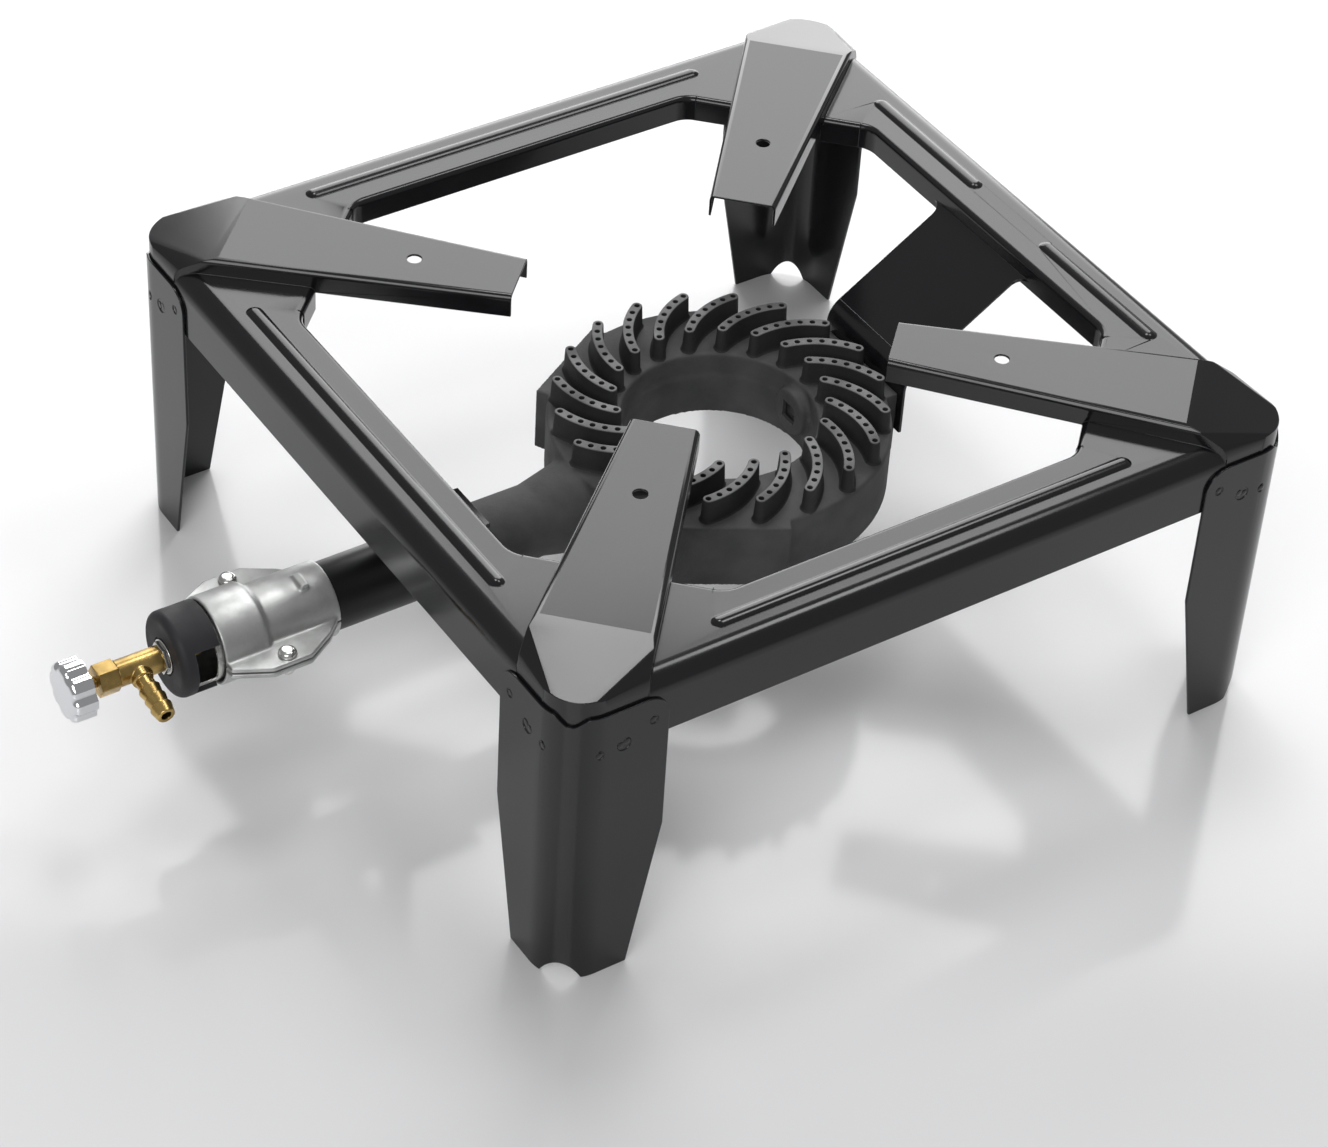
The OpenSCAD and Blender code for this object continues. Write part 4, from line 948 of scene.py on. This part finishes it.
class STOVE_OT_vanes(bpy.types.Operator):
    """Makes the curved vanes with their rows of ports, repeated round the ring"""
    bl_idname = "stove.vanes"
    bl_label = "Swirl vanes"

    def execute(self, context):
        s = context.scene.stove_vane
        centre = Vector((RING_X, burner_high.y - context.scene.stove_burner.boss_reach, 0))
        first = Vector((s.outer_radius, 0, 0))
        last = Vector((math.cos(s.twist), math.sin(s.twist), 0)) * s.inner_radius
        chord = last - first
        sag = math.sqrt(s.bend_radius ** 2 - chord.length_squared / 4)
        across = Vector((-chord.y, chord.x, 0)).normalized()
        bend = (first + last) / 2 + across * sag
        start = math.atan2(first.y - bend.y, first.x - bend.x)
        sweep = 2 * math.asin(chord.length / 2 / s.bend_radius)
        top = burner_high.z

        def on_arc(turn, radius):
            return bend + Vector((math.cos(start + turn), math.sin(start + turn), 0)) * radius

        def outline(half, z):
            """Points round the vane at half its width and a height."""
            steps, end_steps = 14, 8

            def round_end(middle, first_turn):
                for k in range(1, end_steps):
                    turn = first_turn + math.pi * k / end_steps
                    points.append(middle + Vector((math.cos(turn), math.sin(turn), 0)) * half)

            points = [on_arc(sweep * k / steps, s.bend_radius + half) for k in range(steps + 1)]
            round_end(on_arc(sweep, s.bend_radius), start + sweep)
            points += [on_arc(sweep * (steps - k) / steps, s.bend_radius - half) for k in range(steps + 1)]
            round_end(on_arc(0, s.bend_radius), start + math.pi)
            return [Vector((point.x, point.y, z)) for point in points]

        def vane(form):
            """One vane, from the fillet at its foot to its chamfered top, with its ports."""
            half = s.width / 2
            foot = half + s.draft
            deck = top - s.height
            sides = [(foot + 1.1 * MM, deck - 0.4 * MM), (foot + 0.6 * MM, deck + 0.1 * MM),
                     (foot + 0.25 * MM, deck + 0.4 * MM), (foot, deck + 1.0 * MM),
                     (half + s.draft * 0.75, deck + 2.6 * MM), (half + 0.05 * MM, top - 0.6 * MM),
                     (half - 0.1 * MM, top - 0.15 * MM), (half - 0.4 * MM, top)]
            rows = loft(form, [outline(*side) for side in sides])
            form.faces.new(rows[0])
            rims = []
            turns = [2 * math.pi * i / 16 for i in range(16)]
            for k in range(s.ports):
                middle = on_arc(sweep * k / (s.ports - 1), s.bend_radius)
                hole = loft(form, [[Vector((middle.x + r * math.cos(turn), middle.y + r * math.sin(turn), z))
                                    for turn in turns]
                                   for r, z in ((s.port_radius + 0.2 * MM, top),
                                                (s.port_radius, top - 0.25 * MM),
                                                (s.port_radius, deck + 1 * MM))])
                form.faces.new(hole[-1])
                rims.append(hole[0])
            edges = [form.edges.get((loop[i], loop[(i + 1) % len(loop)]))
                     for loop in [rows[-1]] + rims for i in range(len(loop))]
            bmesh.ops.triangle_fill(form, use_beauty=True, edges=edges, normal=(0, 0, 1))

        one = mesh_from(vane)
        # The vanes take the darkened iron, which paints shade on their sides
        values = {"Count": s.count, "Phase": s.phase, "Centre": centre, "Material": FINISH["shaded_vane_iron"]}
        mesh = finished_mesh(grown(one, ring_tree(), values), 50)
        add_piece("swirl_vanes", mesh, STAND, FINISH["shaded_vane_iron"])
        return {"FINISHED"}


class STOVE_OT_clamp(bpy.types.Operator):
    """Makes both halves of the clamp as castings with soft edges"""
    bl_idname = "stove.clamp"
    bl_label = "Clamp"

    def execute(self, context):
        s = context.scene.stove_gas_line
        for name in ("clamp_upper", "clamp_lower"):
            mesh = cast(merged_copy(name), s.clamp_voxel, s.clamp_rounds)
            add_piece(name + "_casting", mesh, STAND, FINISH["zinc_casting"], [name])
        return {"FINISHED"}


class STOVE_OT_air_cap(bpy.types.Operator):
    """Makes the turning air cap and the sleeve inside it"""
    bl_idname = "stove.air_cap"
    bl_label = "Air cap"

    def execute(self, context):
        s = context.scene.stove_gas_line
        low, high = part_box("air_cap")
        radius = (high.x - low.x) / 2
        inside, outside = 0.78 * radius, 1.1 * radius
        front = high.y - s.window_depth

        def windows(form, rear):
            """Two sectors of a thick ring that lengthen the windows upwards."""
            for side in (0, math.pi):
                loops = []
                for k in range(13):
                    turn = side + s.window_start + s.window_span * k / 12
                    loops.append([(reach * math.cos(turn), y, LINE_Z + reach * math.sin(turn))
                                  for reach, y in ((inside, rear), (outside, rear),
                                                   (outside, front), (inside, front))])
                rows = loft(form, loops)
                form.faces.new(rows[0])
                form.faces.new(rows[-1])

        for node, body, slot, rear in (("air_cap", CAP, "dark_cap", high.y + 1 * MM),
                                       ("air_sleeve", STAND, "zinc_plate", high.y - 1.5 * MM)):
            mesh = carved(merged_copy(node), lambda form: windows(form, rear))
            mesh = eased(mesh, s.shell_edge, angle=35)
            add_piece(node + "_shell", mesh, body, FINISH[slot], [node])
        return {"FINISHED"}


class STOVE_OT_valve(bpy.types.Operator):
    """Makes the brass valve body with its barb, and the gland nut"""
    bl_idname = "stove.valve"
    bl_label = "Valve"

    def execute(self, context):
        s = context.scene.stove_gas_line
        body = cast(merged_copy("valve_body"), s.valve_voxel, s.valve_rounds)
        add_piece("valve_casting", body, STAND, FINISH["brass"], ["valve_body"])
        gland = eased(merged_copy("gland_nut"), s.gland_edge, segments=3, angle=35)
        add_piece("gland_hexagon", gland, STAND, FINISH["brass"], ["gland_nut"])
        return {"FINISHED"}


class STOVE_OT_knob(bpy.types.Operator):
    """Makes the plated knob with scalloped sides"""
    bl_idname = "stove.knob"
    bl_label = "Knob"

    def execute(self, context):
        s = context.scene.stove_knob
        radius = (knob_high.x - knob_low.x) / 2
        thick = knob_high.y - knob_low.y
        place = along((0, -1, 0), ((knob_low.x + knob_high.x) / 2, knob_high.y, LINE_Z))

        def reach(turn):
            """Radius of the outline at a turn: the rim, or the nearest notch, blended where they meet."""
            span = 2 * math.pi / s.lobes
            off = (turn % span) - span / 2
            inside = s.notch_radius ** 2 - (s.notch_reach * math.sin(off)) ** 2
            if inside <= 0:
                return radius
            notch = s.notch_reach * math.cos(off) - math.sqrt(inside)
            soft = 0.35 * MM
            blend = max(soft - abs(radius - notch), 0) / soft
            return min(radius, notch) - blend ** 2 * soft / 4

        def shell(form):
            """The knob from its rear rim to its slightly domed front, with the lobes fading inwards."""
            curve = [(radius - s.rounding * (1 - math.cos(turn)),
                      thick - s.rounding * (1 - math.sin(turn)) - 0.4 * MM)
                     for turn in (math.radians(degrees) for degrees in (0, 18, 36, 54, 72, 86))]
            profile = [(radius - 0.5 * MM, 0), (radius - 0.12 * MM, 0.14 * MM), (radius, 0.6 * MM), *curve,
                       (radius * 0.6, thick - 0.15 * MM), (radius * 0.3, thick - 0.03 * MM)]
            count = 24 * s.lobes
            loops = []
            for r, z in profile:
                fade = min(1.0, max((r / radius - 0.55) / 0.3, 0.0))
                loop = []
                for k in range(count):
                    turn = 2 * math.pi * k / count
                    here = r - (radius - reach(turn)) * fade
                    loop.append(place @ Vector((here * math.cos(turn), here * math.sin(turn), z)))
                loops.append(loop)
            rows = loft(form, loops)
            form.faces.new(rows[0])
            tip = form.verts.new(place @ Vector((0, 0, thick)))
            for i in range(count):
                form.faces.new((rows[-1][i], rows[-1][(i + 1) % count], tip))

        mesh = finished_mesh(mesh_from(shell), 40)
        add_piece("knob_shell", mesh, SPINDLE, FINISH["chrome"], ["knob"])
        return {"FINISHED"}


class STOVE_OT_fasteners(bpy.types.Operator):
    """Makes the bolts, screws and nuts with eased edges"""
    bl_idname = "stove.fasteners"
    bl_label = "Fasteners"

    def execute(self, context):
        for name in ("rear_bolt", "rear_nut", "front_bolt", "clamp_screws", "clamp_nuts",
                     "sleeve_nut", "lock_washer", "lock_nut"):
            mesh = eased(merged_copy(name), context.scene.stove_gas_line.nut_edge, angle=35)
            # The rear bolt and nut take the darkened steel, which paints the shade under the ring and in its
            # pocket
            finish = "pocket_shade_steel" if name in ("rear_bolt", "rear_nut") else "zinc_plate"
            add_piece(name + "_plated", mesh, STAND, FINISH[finish], [name])
        return {"FINISHED"}


class STOVE_OT_marks(bpy.types.Operator):
    """Makes the weld dots and the double clinch lumps on the legs' plates"""
    bl_idname = "stove.marks"
    bl_label = "Weld marks"

    def execute(self, context):
        s = context.scene.stove_mark
        form = bmesh.new()
        size = form.verts.layers.float.new("size")
        facing = form.verts.layers.float_vector.new("facing")

        def dome(place, radius, out):
            vert = form.verts.new(place - out * s.depth)
            vert[size] = radius
            vert[facing] = out

        for _, corner, side, end in leg_places():
            corner.z = s.skirt
            for out, run in plate_sides(side, end):
                for away, up, radius in (s.weld, s.inner):
                    dome(corner + run * away + Vector((0, 0, up)), radius, out)
                away, up, radius = s.clinch
                for part in (-1, 1):
                    shift = (run + Vector((0, 0, 0.35))) * part * radius * 0.85
                    dome(corner + run * away + Vector((0, 0, up)) + shift, radius, out)
        points = bpy.data.meshes.new("marks")
        form.to_mesh(points)
        form.free()
        values = {"Height": s.depth * 0.9, "Material": FINISH["black_enamel"]}
        mesh = grown(points, bump_tree(), values)
        mesh.shade_smooth()
        add_piece("leg_marks", mesh, STAND, FINISH["black_enamel"])
        return {"FINISHED"}


class STOVE_OT_threads(bpy.types.Operator):
    """Makes the threads on the clamp screws' ends, below their nuts"""
    bl_idname = "stove.threads"
    bl_label = "Screw threads"

    def execute(self, context):
        nut_low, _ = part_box("clamp_nuts")
        screw_low, screw_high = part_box("clamp_screws")
        s = context.scene.stove_gas_line
        head = screw_high.y - screw_low.y
        starts = bmesh.new()
        for x in (screw_low.x + head / 2, screw_high.x - head / 2):
            starts.verts.new((x, (screw_low.y + screw_high.y) / 2, nut_low.z))
        points = bpy.data.meshes.new("threads")
        starts.to_mesh(points)
        starts.free()
        turns = (nut_low.z - screw_low.z) / s.thread_pitch - 0.5
        values = {"Radius": s.thread_radius, "Pitch": s.thread_pitch, "Turns": turns, "Axis": (0, 0, -1),
                  "Material": FINISH["zinc_plate"]}
        mesh = grown(points, thread_tree(), values)
        mesh.shade_smooth()
        add_piece("screw_threads", mesh, STAND, FINISH["zinc_plate"])
        return {"FINISHED"}


class STOVE_OT_other_nodes(bpy.types.Operator):
    """Gives the CAD nodes that stay their materials"""
    bl_idname = "stove.other_nodes"
    bl_label = "Other parts"

    def execute(self, context):
        slots = {part["node"]: part["material_slot"] for part in frame["record"]["subparts"]}
        for name, part in frame["nodes"].items():
            part.data.materials.clear()
            part.data.materials.append(FINISH[slots[name]])
        return {"FINISHED"}


class STOVE_OT_stage(bpy.types.Operator):
    """Makes the floor, the soft lights and the camera"""
    bl_idname = "stove.stage"
    bl_label = "Stage"

    def execute(self, context):
        s = context.scene.stove_stage
        floor = bpy.data.objects.new("floor", mesh_from(
            lambda form: bmesh.ops.create_grid(form, x_segments=1, y_segments=1, size=10)))
        context.scene.collection.objects.link(floor)
        floor.data.materials.append(floor_finish(s.floor))
        context.scene.world = white_world(s.world)
        context.scene.view_settings.view_transform = "Standard"
        # Each lamp has its place, its size and its watts, and points at the origin
        for name, place, size, watts in (("key", (-1.45, 1.01, 0.86), (1.6, 1.75), 33.0),
                                         ("fill", (1.3, -1.5, 1.7), (1.2, 1.2), 20.0),
                                         ("overhead", (-0.50, 0.26, 1.80), (0.45, 0.45), 5.5),
                                         ("edge", (0.05, 0.95, 2.0), (0.5, 0.5), 5.0)):
            lamp = bpy.data.objects.new(name, bpy.data.lights.new(name, "AREA"))
            lamp.data.shape = "RECTANGLE"
            lamp.data.size, lamp.data.size_y = size
            lamp.data.energy = watts
            lamp.visible_camera = False
            lamp.matrix_world = along(place, place)
            context.scene.collection.objects.link(lamp)
        back = Vector((math.cos(s.elevation) * math.sin(s.azimuth),
                       -math.cos(s.elevation) * math.cos(s.azimuth), math.sin(s.elevation)))
        level = Vector((math.cos(s.azimuth), math.sin(s.azimuth), 0))
        upright = back.cross(level)
        right = math.cos(s.roll) * level + math.sin(s.roll) * upright
        up = math.cos(s.roll) * upright - math.sin(s.roll) * level
        camera = bpy.data.objects.new("camera", bpy.data.cameras.new("camera"))
        camera.data.lens = s.lens
        camera.data.sensor_width = 36
        camera.data.sensor_fit = "HORIZONTAL"
        camera.matrix_world = Matrix.Translation(Vector(s.target) + back * s.distance) @ Matrix(
            (right, up, back)).transposed().to_4x4()
        context.scene.collection.objects.link(camera)
        context.scene.camera = camera
        return {"FINISHED"}


def floor_finish(color):
    """Plain pale floor with a faint sheen."""
    finish = Finish("Pale floor", Roughness=0.12, Specular_IOR_Level=0.5)
    finish.shader.inputs["Base Color"].default_value = (*color, 1)
    return finish.material


def white_world(strength):
    """A plain even world, dimmer than the lamps so that the enamel keeps its darks."""
    world = bpy.data.worlds.new("studio")
    world.use_nodes = True
    light = world.node_tree.nodes["Background"]
    light.inputs["Color"].default_value = (1, 1, 1, 1)
    light.inputs["Strength"].default_value = strength
    return world


class STOVE_PT_panel(bpy.types.Panel):
    """Lists the stove's pieces"""
    bl_idname = "STOVE_PT_panel"
    bl_label = "Gas stove"
    bl_space_type = "VIEW_3D"
    bl_region_type = "UI"
    bl_category = "Stove"

    def draw(self, context):
        for operator in OPERATORS:
            self.layout.operator(operator.bl_idname)


SETTINGS = {"stove_sheet": StoveSheetSettings, "stove_burner": StoveBurnerSettings,
            "stove_vane": StoveVaneSettings, "stove_leg": StoveLegSettings, "stove_mark": StoveMarkSettings,
            "stove_gas_line": StoveGasLineSettings, "stove_knob": StoveKnobSettings,
            "stove_finish": StoveFinishSettings, "stove_stage": StoveStageSettings}
OPERATORS = [STOVE_OT_finishes, STOVE_OT_other_nodes, STOVE_OT_top, STOVE_OT_legs, STOVE_OT_straps,
             STOVE_OT_marks, STOVE_OT_burner, STOVE_OT_vanes, STOVE_OT_clamp, STOVE_OT_air_cap,
             STOVE_OT_valve, STOVE_OT_knob, STOVE_OT_fasteners, STOVE_OT_threads, STOVE_OT_stage]


def register():
    for item in [*SETTINGS.values(), *OPERATORS, STOVE_PT_panel]:
        bpy.utils.register_class(item)
    for name, group in SETTINGS.items():
        setattr(bpy.types.Scene, name, PointerProperty(type=group))


def unregister():
    for name in SETTINGS:
        delattr(bpy.types.Scene, name)
    for item in reversed([*SETTINGS.values(), *OPERATORS, STOVE_PT_panel]):
        bpy.utils.unregister_class(item)


def main():
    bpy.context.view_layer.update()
    register()
    bpy.ops.stove.finishes()
    bpy.ops.stove.other_nodes()
    bpy.ops.stove.top()
    bpy.ops.stove.legs()
    bpy.ops.stove.straps()
    bpy.ops.stove.marks()
    bpy.ops.stove.burner()
    bpy.ops.stove.vanes()
    bpy.ops.stove.clamp()
    bpy.ops.stove.air_cap()
    bpy.ops.stove.valve()
    bpy.ops.stove.knob()
    bpy.ops.stove.fasteners()
    bpy.ops.stove.threads()
    bpy.ops.stove.stage()


if __name__ == "__main__":
    main()
